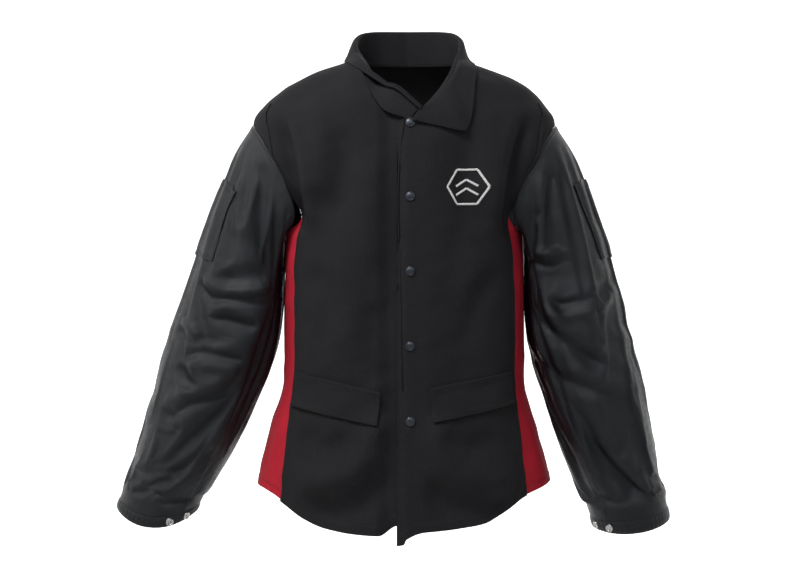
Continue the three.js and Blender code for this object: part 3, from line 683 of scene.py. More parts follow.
def sewn(grid, edges):
    """Raises the turned cloth along some edges, {edge: (width, rise)}, with a groove at its stitches."""
    normals = grid_normals(grid)
    push = np.zeros(grid.shape[:2])
    for edge, (width, rise) in edges.items():
        away = edge_distance(grid, edge)
        push = np.maximum(push, rise * (1 - ease((away - width + 1.2) / 2.4)))
    for edge, (width, rise) in edges.items():
        away = edge_distance(grid, edge)
        push = push - 0.6 * rise * np.exp(-(((away - width + 2.4) / 1.1) ** 2))
    return grid + normals * push[..., None]


def inset(grid, edge, distance, start=0.0, end=1.0):
    """A line on the grid at a distance from one of its edges: points and normals."""
    normals = grid_normals(grid)
    away = edge_distance(grid, edge)
    if edge in ("top", "bottom"):
        grid, normals, away = (np.swapaxes(a, 0, 1) for a in (grid, normals, away))
    if edge in ("right", "bottom"):
        grid, normals, away = (a[:, ::-1] for a in (grid, normals, away))
    first, last = int(start * len(grid)), int(math.ceil(end * len(grid)))
    line, ups = [], []
    for points, up, run in zip(grid[first:last], normals[first:last], away[first:last]):
        if run[-1] < 2 * distance:
            continue
        line.append([np.interp(distance, run, points[:, k]) for k in range(3)])
        ups.append([np.interp(distance, run, up[:, k]) for k in range(3)])
    return np.array(line), unit(np.array(ups))


STITCH_PITCH, STITCH_LENGTH, THREAD_R = 3.4, 2.7, 0.38
STITCH_RING = np.radians([0, 60, 120, 180, 240, 300])
STITCH_STEPS = np.array([0.0, 0.08, 0.3, 0.5, 0.7, 0.92, 1.0])


def stitches(name, lines):
    """Topstitching along lines of (points, normals): each stitch an arched bit of thread."""
    points, faces = [], []
    thick = THREAD_R * np.sqrt(np.clip(1 - (2 * STITCH_STEPS - 1) ** 6, 0.15, 1))
    rise = 0.75 * THREAD_R * np.sin(math.pi * STITCH_STEPS) ** 0.5 - 0.35 * THREAD_R
    around = np.cos(STITCH_RING)[None, :, None], np.sin(STITCH_RING)[None, :, None]
    ring = len(STITCH_RING)
    tube = grid_faces(len(STITCH_STEPS), ring, wrap=True)
    for line, ups in lines:
        run = np.concatenate([[0], np.cumsum(np.linalg.norm(np.diff(line, axis=0), axis=1))])
        for begin in np.arange(STITCH_PITCH * 0.5, run[-1] - STITCH_LENGTH, STITCH_PITCH):
            at = begin + STITCH_STEPS * STITCH_LENGTH
            centre = np.stack([np.interp(at, run, line[:, k]) for k in range(3)], -1)
            up = unit(np.stack([np.interp(at, run, ups[:, k]) for k in range(3)], -1))
            along = unit(np.gradient(centre, axis=0))
            side = unit(np.cross(along, up))
            centre = centre + up * rise[:, None]
            spokes = around[0] * side[:, None] + around[1] * up[:, None]
            rings = centre[:, None] + thick[:, None, None] * spokes
            base = len(points) * ring * len(STITCH_STEPS)
            points.append(rings.reshape(-1, 3))
            faces.append(tube + base)
    return make_mesh(name, np.vstack(points), np.vstack(faces))


def turned(name, section, place, steps=40):
    """A turned piece from (radius, height) pairs; place is (centre, outward normal)."""
    centre, up = place
    side = unit(np.cross(up, np.array([0.0, 0.0, 1.0])))
    other = np.cross(up, side)
    turns = np.linspace(0, 2 * math.pi, steps, endpoint=False)
    section = np.array(section, float)
    ways = np.cos(turns)[:, None] * side + np.sin(turns)[:, None] * other
    grid = centre + section[:, 0, None, None] * ways + section[:, 1, None, None] * up
    return make_mesh(name, grid.reshape(-1, 3), grid_faces(len(section), steps, wrap=True))


def rounded(section, radius=0.35, steps=4):
    """Rounds the corners of a section of (radius, height) pairs by short curves."""
    section = np.array(section, float)
    out = [section[0]]
    for before, corner, after in zip(section[:-2], section[1:-1], section[2:]):
        to_before, to_after = before - corner, after - corner
        reach = min(radius, np.linalg.norm(to_before) / 2.1, np.linalg.norm(to_after) / 2.1)
        start = corner + to_before / np.linalg.norm(to_before) * reach
        end = corner + to_after / np.linalg.norm(to_after) * reach
        for t in np.linspace(0, 1, steps):
            out.append((1 - t) ** 2 * start + 2 * t * (1 - t) * corner + t * t * end)
    out.append(section[-1])
    return out


# ----------------------------------------------------------------------------- materials
def new_material(name, color, roughness, metallic=0.0, **sockets):
    """A principled material and the tools to wire its textures."""
    made = bpy.data.materials.new(name)
    made.use_nodes = True
    shader = made.node_tree.nodes["Principled BSDF"]
    shader.inputs["Base Color"].default_value = (*color, 1)
    shader.inputs["Roughness"].default_value = roughness
    shader.inputs["Metallic"].default_value = metallic
    for socket, value in sockets.items():
        shader.inputs[socket.replace("_", " ")].default_value = value
    return made, shader


def node(made, kind, settings=(), **inputs):
    """Adds a shader node; an input is a value or another node's output."""
    made_node = made.node_tree.nodes.new(kind)
    for key, value in dict(settings).items():
        setattr(made_node, key, value)
    for key, value in inputs.items():
        by_number = key[0] == "i" and key[1:].isdigit()
        target = made_node.inputs[int(key[1:]) if by_number else key.replace("_", " ")]
        if isinstance(value, bpy.types.NodeSocket):
            made.node_tree.links.new(value, target)
        else:
            target.default_value = value
    return made_node


def ramp(made, value, low, high, start, end):
    """Maps a value's range from low..high to start..end, held at both ends."""
    mapped = node(made, "ShaderNodeMapRange", i0=value, i1=low, i2=high, i3=start, i4=end)
    return mapped.outputs[0]


def scaled_uv(made, scale):
    """The surface's own texture place, scaled."""
    coordinates = node(made, "ShaderNodeTexCoord")
    mapping = node(made, "ShaderNodeMapping", Vector=coordinates.outputs["UV"], Scale=scale)
    return mapping.outputs[0]


def object_place(made, scale=(1, 1, 1)):
    """The place in the object's own frame, scaled."""
    coordinates = node(made, "ShaderNodeTexCoord")
    mapping = node(made, "ShaderNodeMapping", Vector=coordinates.outputs["Object"], Scale=scale)
    return mapping.outputs[0]


def noise(made, vector, scale, detail=3, roughness=0.5):
    return node(made, "ShaderNodeTexNoise", Vector=vector, Scale=scale, Detail=detail,
                Roughness=roughness).outputs["Fac"]


def math_node(made, operation, a, b):
    return node(made, "ShaderNodeMath", {"operation": operation}, i0=a, i1=b).outputs[0]


def mix_colors(made, fac, a, b):
    return node(made, "ShaderNodeMix", {"data_type": "RGBA"}, Factor=fac, i6=a, i7=b).outputs[2]


def wire(made, shader, color, roughness, height, strength, distance):
    """Links a colour, a roughness and a bump of some strength and distance in metres to the shader."""
    links = made.node_tree.links
    links.new(color, shader.inputs["Base Color"])
    links.new(roughness, shader.inputs["Roughness"])
    bump = node(made, "ShaderNodeBump", Height=height, Strength=strength, Distance=distance)
    links.new(bump.outputs[0], shader.inputs["Normal"])


def twill(name, color, light, sheen):
    """Cotton twill: a diagonal weave of 0.9 mm, slubs, and slow changes of shade."""
    made, shader = new_material(name, color, 0.9, Sheen_Weight=sheen, Sheen_Roughness=0.45)
    shader.inputs["Sheen Tint"].default_value = (*light, 1)
    shader.inputs["Specular IOR Level"].default_value = 0.25
    uv = scaled_uv(made, (1, 1, 1))
    ribs = node(made, "ShaderNodeTexWave", {"wave_type": "BANDS", "bands_direction": "DIAGONAL"},
                Vector=uv, Scale=175.0, Distortion=1.2, Detail=2.0, Detail_Scale=2.0)
    rib = ribs.outputs["Fac"]
    place = object_place(made)
    cloud = noise(made, place, 9.0, detail=4)
    slub = noise(made, scaled_uv(made, (1, 0.12, 1)), 420.0, detail=2)
    shade = ramp(made, cloud, 0.3, 0.7, 0.0, 1.0)
    weave = ramp(made, rib, 0.0, 1.0, 0.25, 1.0)
    dark = mix_colors(made, weave, (*[c * 0.62 for c in color], 1), (*color, 1))
    base = mix_colors(made, math_node(made, "MULTIPLY", shade, 0.5), dark, (*light, 1))
    pale = (*[min(1, c * 1.9) for c in light], 1)
    faded = mix_colors(made, ramp(made, slub, 0.62, 0.78, 0.0, 0.35), base, pale)
    height = math_node(made, "ADD", rib, math_node(made, "MULTIPLY", slub, 0.8))
    wire(made, shader, faded, ramp(made, cloud, 0.3, 0.7, 0.82, 0.96), height, 0.35, 0.0004)
    return made


def hide(name):
    """Black grain leather: pebbles of about 1.3 mm, fine wrinkles, pores and a worn sheen."""
    made, shader = new_material(name, (0.009, 0.010, 0.012), 0.4)
    shader.inputs["Specular IOR Level"].default_value = 0.27
    uv = scaled_uv(made, (1, 1, 1))
    wobble = node(made, "ShaderNodeTexNoise", Vector=uv, Scale=260.0, Detail=2.0)
    bent = node(made, "ShaderNodeMix", {"data_type": "VECTOR"}, Factor=0.0012, i4=uv,
                i5=wobble.outputs["Color"])
    pebbles = node(made, "ShaderNodeTexVoronoi", {"feature": "DISTANCE_TO_EDGE"},
                   Vector=bent.outputs[1], Scale=760.0)
    grain = ramp(made, pebbles.outputs["Distance"], 0.0, 0.22, 0.0, 1.0)
    wrinkle = noise(made, scaled_uv(made, (0.55, 1.3, 1)), 95.0, detail=5, roughness=0.62)
    pores = noise(made, uv, 1500.0, detail=1)
    slow = noise(made, object_place(made), 14.0, detail=4)
    fine = math_node(made, "ADD", math_node(made, "MULTIPLY", grain, 0.5),
                     math_node(made, "MULTIPLY", pores, 0.25))
    height = math_node(made, "ADD", fine, math_node(made, "MULTIPLY", wrinkle, 1.5))
    gloss = math_node(made, "ADD", ramp(made, slow, 0.3, 0.7, 0.33, 0.46),
                      ramp(made, wrinkle, 0.35, 0.65, 0.07, -0.03))
    color = mix_colors(made, ramp(made, slow, 0.35, 0.7, 0.0, 1.0), (0.0042, 0.0052, 0.0068, 1),
                       (0.0092, 0.0112, 0.014, 1))
    worn = mix_colors(made, ramp(made, wrinkle, 0.6, 0.8, 0.0, 0.4), color, (0.032, 0.032, 0.032, 1))
    wire(made, shader, worn, gloss, height, 0.5, 0.0009)
    return made


def metal(name, color, low, high, scratches):
    """Turned metal: fine scratches and a cloudy polish."""
    made, shader = new_material(name, color, low, metallic=1.0)
    place = object_place(made)
    cloud = noise(made, place, 260.0, detail=3)
    marks = noise(made, object_place(made, (1, 1, 9)), 900.0, detail=2)
    bright = (*[min(1, c * 1.5) for c in color], 1)
    tone = mix_colors(made, ramp(made, cloud, 0.3, 0.75, 0.0, 1.0), (*color, 1), bright)
    wire(made, shader, tone, ramp(made, cloud, 0.3, 0.7, low, high), marks, scratches, 0.0002)
    return made


def thread(name, color):
    """Sewing thread: fine twisted plies."""
    made, shader = new_material(name, color, 0.75, Sheen_Weight=0.08)
    shader.inputs["Specular IOR Level"].default_value = 0.25
    plies = node(made, "ShaderNodeTexWave", {"bands_direction": "DIAGONAL"}, Vector=object_place(made),
                 Scale=900.0, Distortion=0.6)
    dark = tuple(c * 0.7 for c in color)
    tone = mix_colors(made, plies.outputs["Fac"], (*dark, 1), (*color, 1))
    gloss = ramp(made, plies.outputs["Fac"], 0, 1, 0.8, 0.6)
    wire(made, shader, tone, gloss, plies.outputs["Fac"], 0.3, 0.0002)
    return made


BLACK_COTTON = twill("black_cotton", (0.0074, 0.0064, 0.0082), (0.0138, 0.0128, 0.0138), 0.06)
RED_COTTON = twill("red_cotton", (0.36, 0.0065, 0.018), (0.47, 0.012, 0.032), 0.05)
LEATHER = hide("black_leather")
GUNMETAL = metal("gunmetal", (0.045, 0.05, 0.058), 0.34, 0.5, 0.12)
NICKEL = metal("nickel", (0.36, 0.36, 0.35), 0.16, 0.32, 0.08)
BLACK_THREAD = thread("black_thread", (0.0065, 0.0065, 0.0075))
WHITE_THREAD = thread("white_thread", (0.78, 0.78, 0.76))

# Where cloth bends at a joint: two bodies and the line along which it turns from one to the other.
FRONT_BEND = ("torso", "front_left", (0, 0, -0.240), (0, 0, -0.335))
SLEEVE_TURN = 0.17  # metres of leather, out from the armhole, over which a sleeve turns
SLEEVE_BEND = {}
for name, side in SIDES.items():
    start = Vector((side * 0.2585, 0, -0.107))
    way = Vector((side * 0.943, 0, -0.337))
    SLEEVE_BEND[name] = ("torso", f"sleeve_{name}", tuple(start), tuple(start + SLEEVE_TURN * way))


def dress(obj, finish, moves, *stands_for):
    """Gives a piece its material and its body, and hides the CAD nodes it stands for; a bend given instead
    of a body is not applied, and the piece stays fixed in place.
    """
    obj.data.materials.append(finish)
    if isinstance(moves, str):
        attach(obj, moves)
    else:
        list(moves)
        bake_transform(obj)
    if stands_for:
        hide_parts(*stands_for)
    return obj


# --------------------------------------------------------------------------- the panels
body = drape_torso()
sleeves = {name: drape_sleeve(name) for name in SIDES}
for name in SIDES:
    settle(sleeves[name], name)
COARSE, FINE, EDGE_ZONE = 3.4, 0.9, 8.0


def levels(top, foot):
    """Heights of a panel's rows, evenly spaced along the body's side."""
    z = np.arange(TORSO_TOP, TORSO_FOOT, -0.5)
    side = torso(90.0, z)
    run = np.concatenate([[0], np.cumsum(np.linalg.norm(np.diff(side, axis=0), axis=1))])
    start, end = np.interp([-top, -foot], -z, run)
    return np.interp(np.linspace(start, end, int((end - start) / COARSE)), run, z)


def hem_shares(zone=150.0):
    return spread(zone, COARSE, FINE, EDGE_ZONE)[1:]


def border(angles, heights):
    """A panel's border in degrees and heights, as a curve read by shares of its length."""
    angles, heights = np.broadcast_arrays(np.asarray(angles, float), np.asarray(heights, float))
    steps = np.linalg.norm(np.diff(torso(angles, heights), axis=0), axis=1)
    run = np.concatenate([[0], np.cumsum(steps)])

    def read(share):
        at = share * run[-1]
        return np.stack([np.interp(at, run, angles), np.interp(at, run, heights)], -1)

    return read


def panel(top, foot, start, end, width, height):
    """A panel's angles and heights between its four borders: a Coons patch."""
    u, v = (spread(length, COARSE, FINE, EDGE_ZONE) for length in (width, height))
    rows, columns = v[:, None, None], u[None, :, None]
    t, f = top(u)[None], foot(u)[None]
    s, e = start(v)[:, None], end(v)[:, None]
    corners = (1 - rows) * lerp(t[:, :1], t[:, -1:], columns) + rows * lerp(f[:, :1], f[:, -1:], columns)
    patch = lerp(t, f, rows) + lerp(s, e, columns) - corners
    return patch[..., 0], patch[..., 1]


def straight_grain(angle, z):
    """Texture lengths whose grain runs straight down the panel."""
    line = np.arange(TORSO_TOP, TORSO_FOOT - 30, -2.0)
    steps = np.linalg.norm(np.diff(torso(40.0, line), axis=0), axis=1)
    run = np.concatenate([[0], np.cumsum(steps)])
    return np.stack([2.7 * angle, -np.interp(-z, -line, run)], -1)


def hem_border(start, end, shift):
    """The hem between two angles, raised or dropped by a shift that depends on x."""
    angles = np.linspace(start, end, 160)
    heights = hem_z(angles)
    return angles, heights + shift(torso(angles, heights)[..., 0])


def tip_drop(x):
    return -TIP_DROP * np.exp(-(((x - EDGE_X) / TIP_WIDTH) ** 2))


def under_rise(x):
    return UNDER_RISE * ease((x + 40) / 30)


def no_shift(x):
    return 0 * x


CORNER = 13.0  # rounding of the overlapping front's top corner


def front_borders(name):
    """The borders of a front: neckline and shoulder, hem, free edge, armhole and side seam."""
    side = SIDES[name]
    heights = np.linspace(NECK_V_Z + 0.01, 0, 60)
    neckline = angle_at(neckline_at(heights)[..., 0], heights)
    if name == "left":
        turns = np.linspace(0, math.pi / 2, 12)
        corner_z = NECK_V_Z - CORNER * (1 - np.sin(turns))
        corner_x = EDGE_X + (NECK_X - EDGE_X) * (1 - np.cos(turns))
        edge_x, shift = EDGE_X, tip_drop
    else:
        corner_x = np.linspace(UNDERLAP_X, NECK_X, 12)
        corner_z = np.full(12, float(NECK_V_Z))
        edge_x, shift = UNDERLAP_X, under_rise
    corner = side * angle_on(corner_x, corner_z)
    shoulder = np.linspace(-1, ARM_TOP, 40)
    top = border(np.concatenate([corner[:-1], neckline, 90 - SEAM_GAP + 0 * shoulder]),
                 np.concatenate([corner_z[:-1], heights, shoulder]))
    foot_end = 44.0
    for _ in range(20):
        foot_end = float(panel_edge(hem_z(np.array(side * foot_end))))
    foot_start = float(side * angle_on(np.array(edge_x), np.array(-752.0)))
    angles, foot_z = hem_border(side * foot_start, side * foot_end, shift)
    foot = border(side * angles, foot_z)
    down = np.linspace(corner_z[0], foot_z[0], 200)
    free = border(side * angle_on(np.full(200, float(edge_x)), down), down)
    down = np.linspace(ARM_TOP, foot_z[-1], 400)
    seam = border(panel_edge(down), down)
    return top, foot, free, seam


def settle_edge(grid):
    """The overlapping front's free edge lies down on the cloth below it."""
    away = grid[..., 0] - EDGE_X
    below = ease((NECK_V_Z + 4 - grid[..., 2]) / 12)
    grid[..., 1] += 5.8 * np.exp(-((away / 9) ** 2)) * below
    return grid


def front_grid(name):
    """A front on the draped torso, its columns running from left to right of the body."""
    angle, z = panel(*front_borders(name), 330, 655)
    angle = SIDES[name] * angle
    grid, uv = body.at(z, angle), straight_grain(angle, z)
    if name == "right":
        grid, uv = grid[:, ::-1], uv[:, ::-1]
    return grid, uv


def make_fronts():
    """The overlapping front and the front under it."""
    left, uv = front_grid("left")
    left = settle_edge(left)
    left = sewn(left, {"left": (9, 0.3), "bottom": (16, 0.8), "right": (9, 0.5)})
    cloth = dress(shell("front_left_cloth", left, 1.7, uv=uv), BLACK_COTTON, FRONT_BEND,
                  "front_left_upper", "front_left_lower")
    lines = [inset(left, "left", 7), inset(left, "bottom", 13.6), inset(left, "right", 3),
             inset(left, "right", 9), inset(left, "top", 3, start=0.45)]
    dress(stitches("front_left_stitches", lines), BLACK_THREAD, FRONT_BEND)
    right, uv = front_grid("right")
    right[..., 1] += UNDERLAP_SINK * ease((right[..., 0] + 46) / 26)
    right = sewn(right, {"left": (9, 0.5), "bottom": (16, 0.8)})
    cloth = dress(shell("front_right_cloth", right, 1.7, uv=uv), BLACK_COTTON, "torso", "front_right")
    lines = [inset(right, "right", 7), inset(right, "bottom", 13.6), inset(right, "left", 3),
             inset(right, "left", 9), inset(right, "top", 3, end=0.55)]
    dress(stitches("front_right_stitches", lines), BLACK_THREAD, "torso")


def yoke_borders():
    """The yoke's borders: shoulder, back of the neck, shoulder; its seam; the two armholes."""
    over = np.concatenate([np.full(30, 90 + SEAM_GAP), np.linspace(90 + SEAM_GAP, 270 - SEAM_GAP, 90),
                           np.full(30, 270 - SEAM_GAP)])
    rise = np.linspace(ARM_TOP, 6, 30)
    top = border(over, np.concatenate([rise, np.full(90, 6.0), rise[::-1]]))
    seam_z = YOKE_Z + 0.1
    reach = float(panel_edge(np.array(seam_z)))
    foot = border(np.linspace(180 - reach, 180 + reach, 60), np.full(60, seam_z))
    down = np.linspace(ARM_TOP, seam_z, 60)
    return top, foot, border(180 - panel_edge(down), down), border(180 + panel_edge(down), down)


def back_borders():
    """The back's borders: the yoke's seam, the hem, and each armhole with its side seam."""
    seam_z = YOKE_Z - 0.1
    reach = float(panel_edge(np.array(seam_z)))
    top = border(np.linspace(180 - reach, 180 + reach, 60), np.full(60, seam_z))
    foot_reach = 44.0
    for _ in range(20):
        foot_reach = float(panel_edge(hem_z(np.array(180 - foot_reach))))
    angles, foot_z = hem_border(180 - foot_reach, 180 + foot_reach, no_shift)
    down = np.linspace(seam_z, foot_z[0], 400)
    return (top, border(angles, foot_z), border(180 - panel_edge(down), down),
            border(180 + panel_edge(down), down))


def make_back():
    """The yoke and the back below it, with their seams and hem."""
    angle, z = panel(*yoke_borders(), 640, 150)
    yoke = sewn(body.at(z, (angle + 180) % 360 - 180), {"bottom": (8, 0.6)})
    cloth = dress(shell("back_yoke_cloth", yoke, 1.7, uv=straight_grain(angle, z)), BLACK_COTTON, "torso",
                  "back_yoke")
    dress(stitches("back_yoke_stitches", [inset(yoke, "bottom", 3), inset(yoke, "bottom", 8)]),
          BLACK_THREAD, "torso")
    angle, z = panel(*back_borders(), 470, 610)
    back = sewn(body.at(z, (angle + 180) % 360 - 180),
                {"left": (9, 0.5), "right": (9, 0.5), "bottom": (16, 0.8)})
    cloth = dress(shell("back_cloth", back, 1.7, uv=straight_grain(angle, z)), BLACK_COTTON, "torso",
                  "back_panel")
    lines = [inset(back, "bottom", 13.6), inset(back, "left", 3), inset(back, "right", 3)]
    dress(stitches("back_stitches", lines), BLACK_THREAD, "torso")


def make_side_panel(name):
    """A red side panel: it runs up to the armhole between its two seams."""
    side = SIDES[name]
    u = spread(130, COARSE, FINE, EDGE_ZONE)[None, :]

    def around(z):
        return lerp(seam_angle(z) + SEAM_GAP, 180 - seam_angle(z) - SEAM_GAP, u)

    top = armhole_foot(around(np.array([[SEAM_TOP]]))) - ARMHOLE_GAP
    first = -292.0
    shares = np.linspace(0, 1, 14)[:-1, None]
    below = levels(first, HIP_Z)[:, None] + 0 * u
    low = lerp(HIP_Z, hem_z(side * around(np.array([[float(HIP_Z)]]))), hem_shares()[:, None])
    z = np.vstack([lerp(top, first, shares), below, low])
    angle = side * around(z)
    grid = body.at(z, angle)
    grid = facing_out(grid, side)
    grid = sewn(grid, {"bottom": (14, 0.7)})
    cloth = dress(shell(f"side_{name}_cloth", grid, 1.6), RED_COTTON, "torso", f"side_panel_{name}")
    dress(stitches(f"side_{name}_stitches", [inset(grid, "bottom", 11.6)]), BLACK_THREAD, "torso")


# -------------------------------------------------------------------------- the sleeves
def make_sleeve(name):
    """A sleeve's two pieces of hide, its cuff and its pocket."""
    surface = sleeves[name]
    bend = SLEEVE_BEND[name]
    shares = spread(700, COARSE, FINE, EDGE_ZONE)[:, None] * (CUFF_HEM + 0.004)
    trim = 0.25

    def part(start, end, width):
        turn = lerp(start, end, spread(width, COARSE, FINE, EDGE_ZONE))[None, :]
        return surface.at(shares, (turn + 180) % 360 - 180)

    outer = part(-SLEEVE_SEAM + trim, SLEEVE_SEAM - trim, 370)
    under = part(SLEEVE_SEAM + trim, 360 - SLEEVE_SEAM - trim, 140)
    outer = sewn(outer, {"left": (6, 0.5), "right": (6, 0.5), "top": (7, 0.6)})
    under = sewn(under, {"top": (7, 0.6)})
    leather = dress(shell(f"sleeve_{name}_leather", outer, 1.8), LEATHER, bend, f"sleeve_{name}_outer")
    leather = dress(shell(f"sleeve_{name}_under_leather", under, 1.8), LEATHER, bend,
                    f"sleeve_{name}_under")
    lines = [inset(outer, "left", 3.6), inset(outer, "right", 3.6), inset(outer, "top", 4.6),
             inset(under, "top", 4.6)]
    dress(stitches(f"sleeve_{name}_stitches", lines), BLACK_THREAD, bend)
    make_cuff(name)
    make_sleeve_pocket(name)


def make_cuff(name):
    """The turned hem at the sleeve's end: a rolled ring of leather with its row of stitches."""
    surface = sleeves[name]
    turns = np.arange(-180, 180, 1.5)
    drops = np.concatenate([np.linspace(0.0, 0.030, 22), 0.034 + 0 * np.arange(1)])
    around = np.linspace(0, math.pi, 9)
    skin = surface.at(CUFF_HEM + drops[:, None], turns[None, :])
    normals = grid_normals(skin, wrap=True)
    length = np.linalg.norm(skin[-1] - skin[0], axis=-1).mean()
    away = drops[:-1] / 0.034 * length
    puckers = 0.25 * np.sin(np.radians(turns) * 48)[None, :]
    puff = 1.0 + 0.5 * np.sin(math.pi * np.clip(away / length, 0, 1))[:, None] + puckers
    puff = puff - 0.7 * np.exp(-(((away[:, None] - 17) / 1.2) ** 2))
    outer = skin[:-1] + normals[:-1] * puff[..., None]
    inner = skin[:-1] - normals[:-1] * 2.7
    down = unit(skin[-1] - skin[-2])
    centre = (outer[-1] + inner[-1]) / 2
    half = (np.linalg.norm(outer[-1] - inner[-1], axis=-1) / 2)[:, None]
    roll = [centre + half * (math.cos(t) * normals[-1] + 0.9 * math.sin(t) * down) for t in around[1:-1]]
    top = (outer[0] + inner[0]) / 2 - 0.6 * down
    grid = np.vstack([top[None], outer, np.array(roll), inner[::-1], top[None]])
    uv = cloth_uv(grid)
    obj = make_mesh(f"cuff_{name}_leather", grid.reshape(-1, 3), grid_faces(len(grid), len(turns), True),
                    uv.reshape(-1, 2))
    dress(obj, LEATHER, SLEEVE_BEND[name], f"cuff_hem_{name}")
    line = np.vstack([outer[11], outer[11][:1]])
    ups = np.vstack([normals[11], normals[11][:1]])
    dress(stitches(f"cuff_{name}_stitches", [(line, ups)]), BLACK_THREAD, SLEEVE_BEND[name])


def make_sleeve_pocket(name):
    """The patch pocket on the outer arm, a little proud of the sleeve."""
    side = SIDES[name]
    share = lerp(0.13, 0.305, spread(118, 2.2, 0.7, 7))[:, None]
    start = -side * SLEEVE_POCKET[name]
    turn = lerp(start, start + side * 81, spread(105, 2.2, 0.7, 7))[None, :]
    grid = sleeves[name].at(share, turn)
    grid = facing_out(grid, side)
    grid = grid + 2.0 * grid_normals(grid)
    puff = np.minimum.reduce([edge_distance(grid, e) for e in ("left", "right", "top", "bottom")])
    grid = grid + grid_normals(grid) * (1.3 * ease(puff / 22))[..., None]
    grid = sewn(grid, {"left": (6, 0.4), "right": (6, 0.4), "top": (12, 0.6), "bottom": (6, 0.4)})
    bend = SLEEVE_BEND[name]
    leather = dress(shell(f"sleeve_pocket_{name}_leather", grid, 1.9), LEATHER, bend,
                    f"sleeve_pocket_{name}")
    lines = [inset(grid, "left", 3.6), inset(grid, "right", 3.6), inset(grid, "bottom", 3.6),
             inset(grid, "top", 9.6)]
    dress(stitches(f"sleeve_pocket_{name}_stitches", lines), BLACK_THREAD, bend)


# --------------------------------------------------------------------------- the collar
collar_at = {side: {line: smooth_curve([[i, *row] for i, row in enumerate(rows)])
                    for line, rows in lines.items()} for side, lines in COLLAR.items()}


def collar_line(line, at):
    """Points of a collar line; at runs from -1, the wearer's-right front, to 1, the left front."""
    last = len(COLLAR["left"][line]) - 1
    points = {side: collar_at[side][line](np.abs(at) * last) for side in SIDES}
    left = points["left"] + [NECK_X, 0, 0]
    right = points["right"] * [-1, 1, 1] + [NECK_X, 0, 0]
    return np.where((at < 0)[:, None], right, left)


def spline(points, at):
    """A Catmull-Rom curve through points (first axis), read at fractional places."""
    i = np.clip(np.floor(at).astype(int), 0, len(points) - 2)
    weights = cubic_weights(at - i)
    padded = np.concatenate([2 * points[:1] - points[1:2], points, 2 * points[-1:] - points[-2:-1]])
    return sum(w[:, None, None] * padded[i + k] for k, w in enumerate(weights))


def collar_grid():
    """One continuous collar from the foot of its stand, over the fold, to the leaf's edge."""
    at = 2 * spread(620, 4.0, 1.1, 8) - 1
    foot, fold, leaf = (collar_line(line, at) for line in ("foot", "fold", "leaf"))
    inwards = unit(np.stack([NECK_X - fold[:, 0], 20 - fold[:, 1], 0 * fold[:, 0]], -1))
    up = np.array([0, 0, 1.0])
    reach = np.linalg.norm(leaf - fold, axis=1, keepdims=True)
    forward = ease(-foot[:, 1:2] / 60)
    tucked = lerp(np.array([0, 0, -6.0]), np.array([0, 2.4, -4.0]), forward)
    stations = [foot + lerp(4, 0, forward) * inwards + tucked]
    for share in (0.35, 0.7):
        stations.append(lerp(foot, fold, share) + lerp(4, 1.5, share) * lerp(1, 0.6, forward) * inwards)
    stations.append(fold + 1.0 * inwards - 1.5 * up)
    stations.append(fold - 2.2 * inwards + 1.8 * up)
    for share in (0.12, 0.36, 0.68, 1.0):
        bulge = 0.12 * reach * math.sin(math.pi * share)
        point = lerp(fold, leaf, share) - inwards * (3 + 0.6 * bulge + 2 * (share < 0.2)) + up * (2 + bulge)
        stations.append(clear_of_torso(point, 5.5, 1.2))
    return stations


def make_collar():
    """The collar, one cloth folded over, with the closest rows at its free edge."""
    stations = collar_grid()
    rows = np.concatenate([np.linspace(0, 2.6, 18), np.linspace(2.75, 5.2, 20), np.linspace(5.3, 7.6, 16),
                           np.linspace(7.66, 8, 9)])
    grid = spline(np.array(stations), rows)
    grid = sewn(grid[:, ::-1], {"bottom": (8, 0.4)})
    thickness = lerp(2.4, 2.6, ease((rows - 5) / 3))[:, None] + 0 * grid[..., 0]
    collar = dress(shell("collar_cloth", grid, thickness), BLACK_COTTON, "torso", "collar_stand",
                   "collar_leaf")
    dress(stitches("collar_stitches", [inset(grid, "bottom", 5.6), inset(grid, "top", 4)]),
          BLACK_THREAD, "torso")


# ----------------------------------------------------------------- flaps and their bags
def front_surface(x, z):
    """The draped front's points at so much across and so high."""
    return body.at(z, angle_on(x, z))


FLAP_BEND = 12  # length of cloth over which a flap turns


def make_pocket(name):
    """A pocket's flap and the bag behind it."""
    side = SIDES[name]
    x, top, foot = (FLAPS[name][key] for key in ("x", "top", "foot"))
    u = spread(124, 2.6, 0.8, 8)[None, :]
    v = spread(52, 2.0, 0.7, 8)[:, None]
    across = side * lerp(lerp(x[0], x[1], u), lerp(x[0] + 5, x[1] + 7, u), v)
    height = lerp(lerp(top[0], top[1], u), lerp(foot[0], foot[1], u), v)
    grid = front_surface(across, height)
    grid = facing_out(grid, side)
    lift = FLAP_LIFT + FLAP + 1.0 * ease(edge_distance(grid, "top") / 30)
    lift = lift + 0.8 * waves(grid, 60, seed=30 + side)
    grid = grid + grid_normals(grid) * (lift * 0.9)[..., None]
    grid = sewn(grid, {"left": (7, 0.4), "right": (7, 0.4), "bottom": (7, 0.4), "top": (9, 1.0)})
    parent = "front_left" if name == "left" else "torso"
    normal = unit(grid_normals(grid)[0].mean(0))
    way = Vector(unit(np.cross(grid[0, -1] - grid[0, 0], normal)) * FLAP_BEND * MM)
    start = Vector(grid[0].mean(0) * MM) + 0.2 * way
    bend = (parent, f"flap_{name}", tuple(start), tuple(start + way))
    cloth = dress(shell(f"flap_{name}_cloth", grid, 2.4), BLACK_COTTON, bend, f"pocket_flap_{name}")
    lines = [inset(grid, "left", 4.6), inset(grid, "right", 4.6), inset(grid, "bottom", 4.6),
             inset(grid, "top", 6.6)]
    dress(stitches(f"flap_{name}_stitches", lines), BLACK_THREAD, bend)
    make_bag(name)


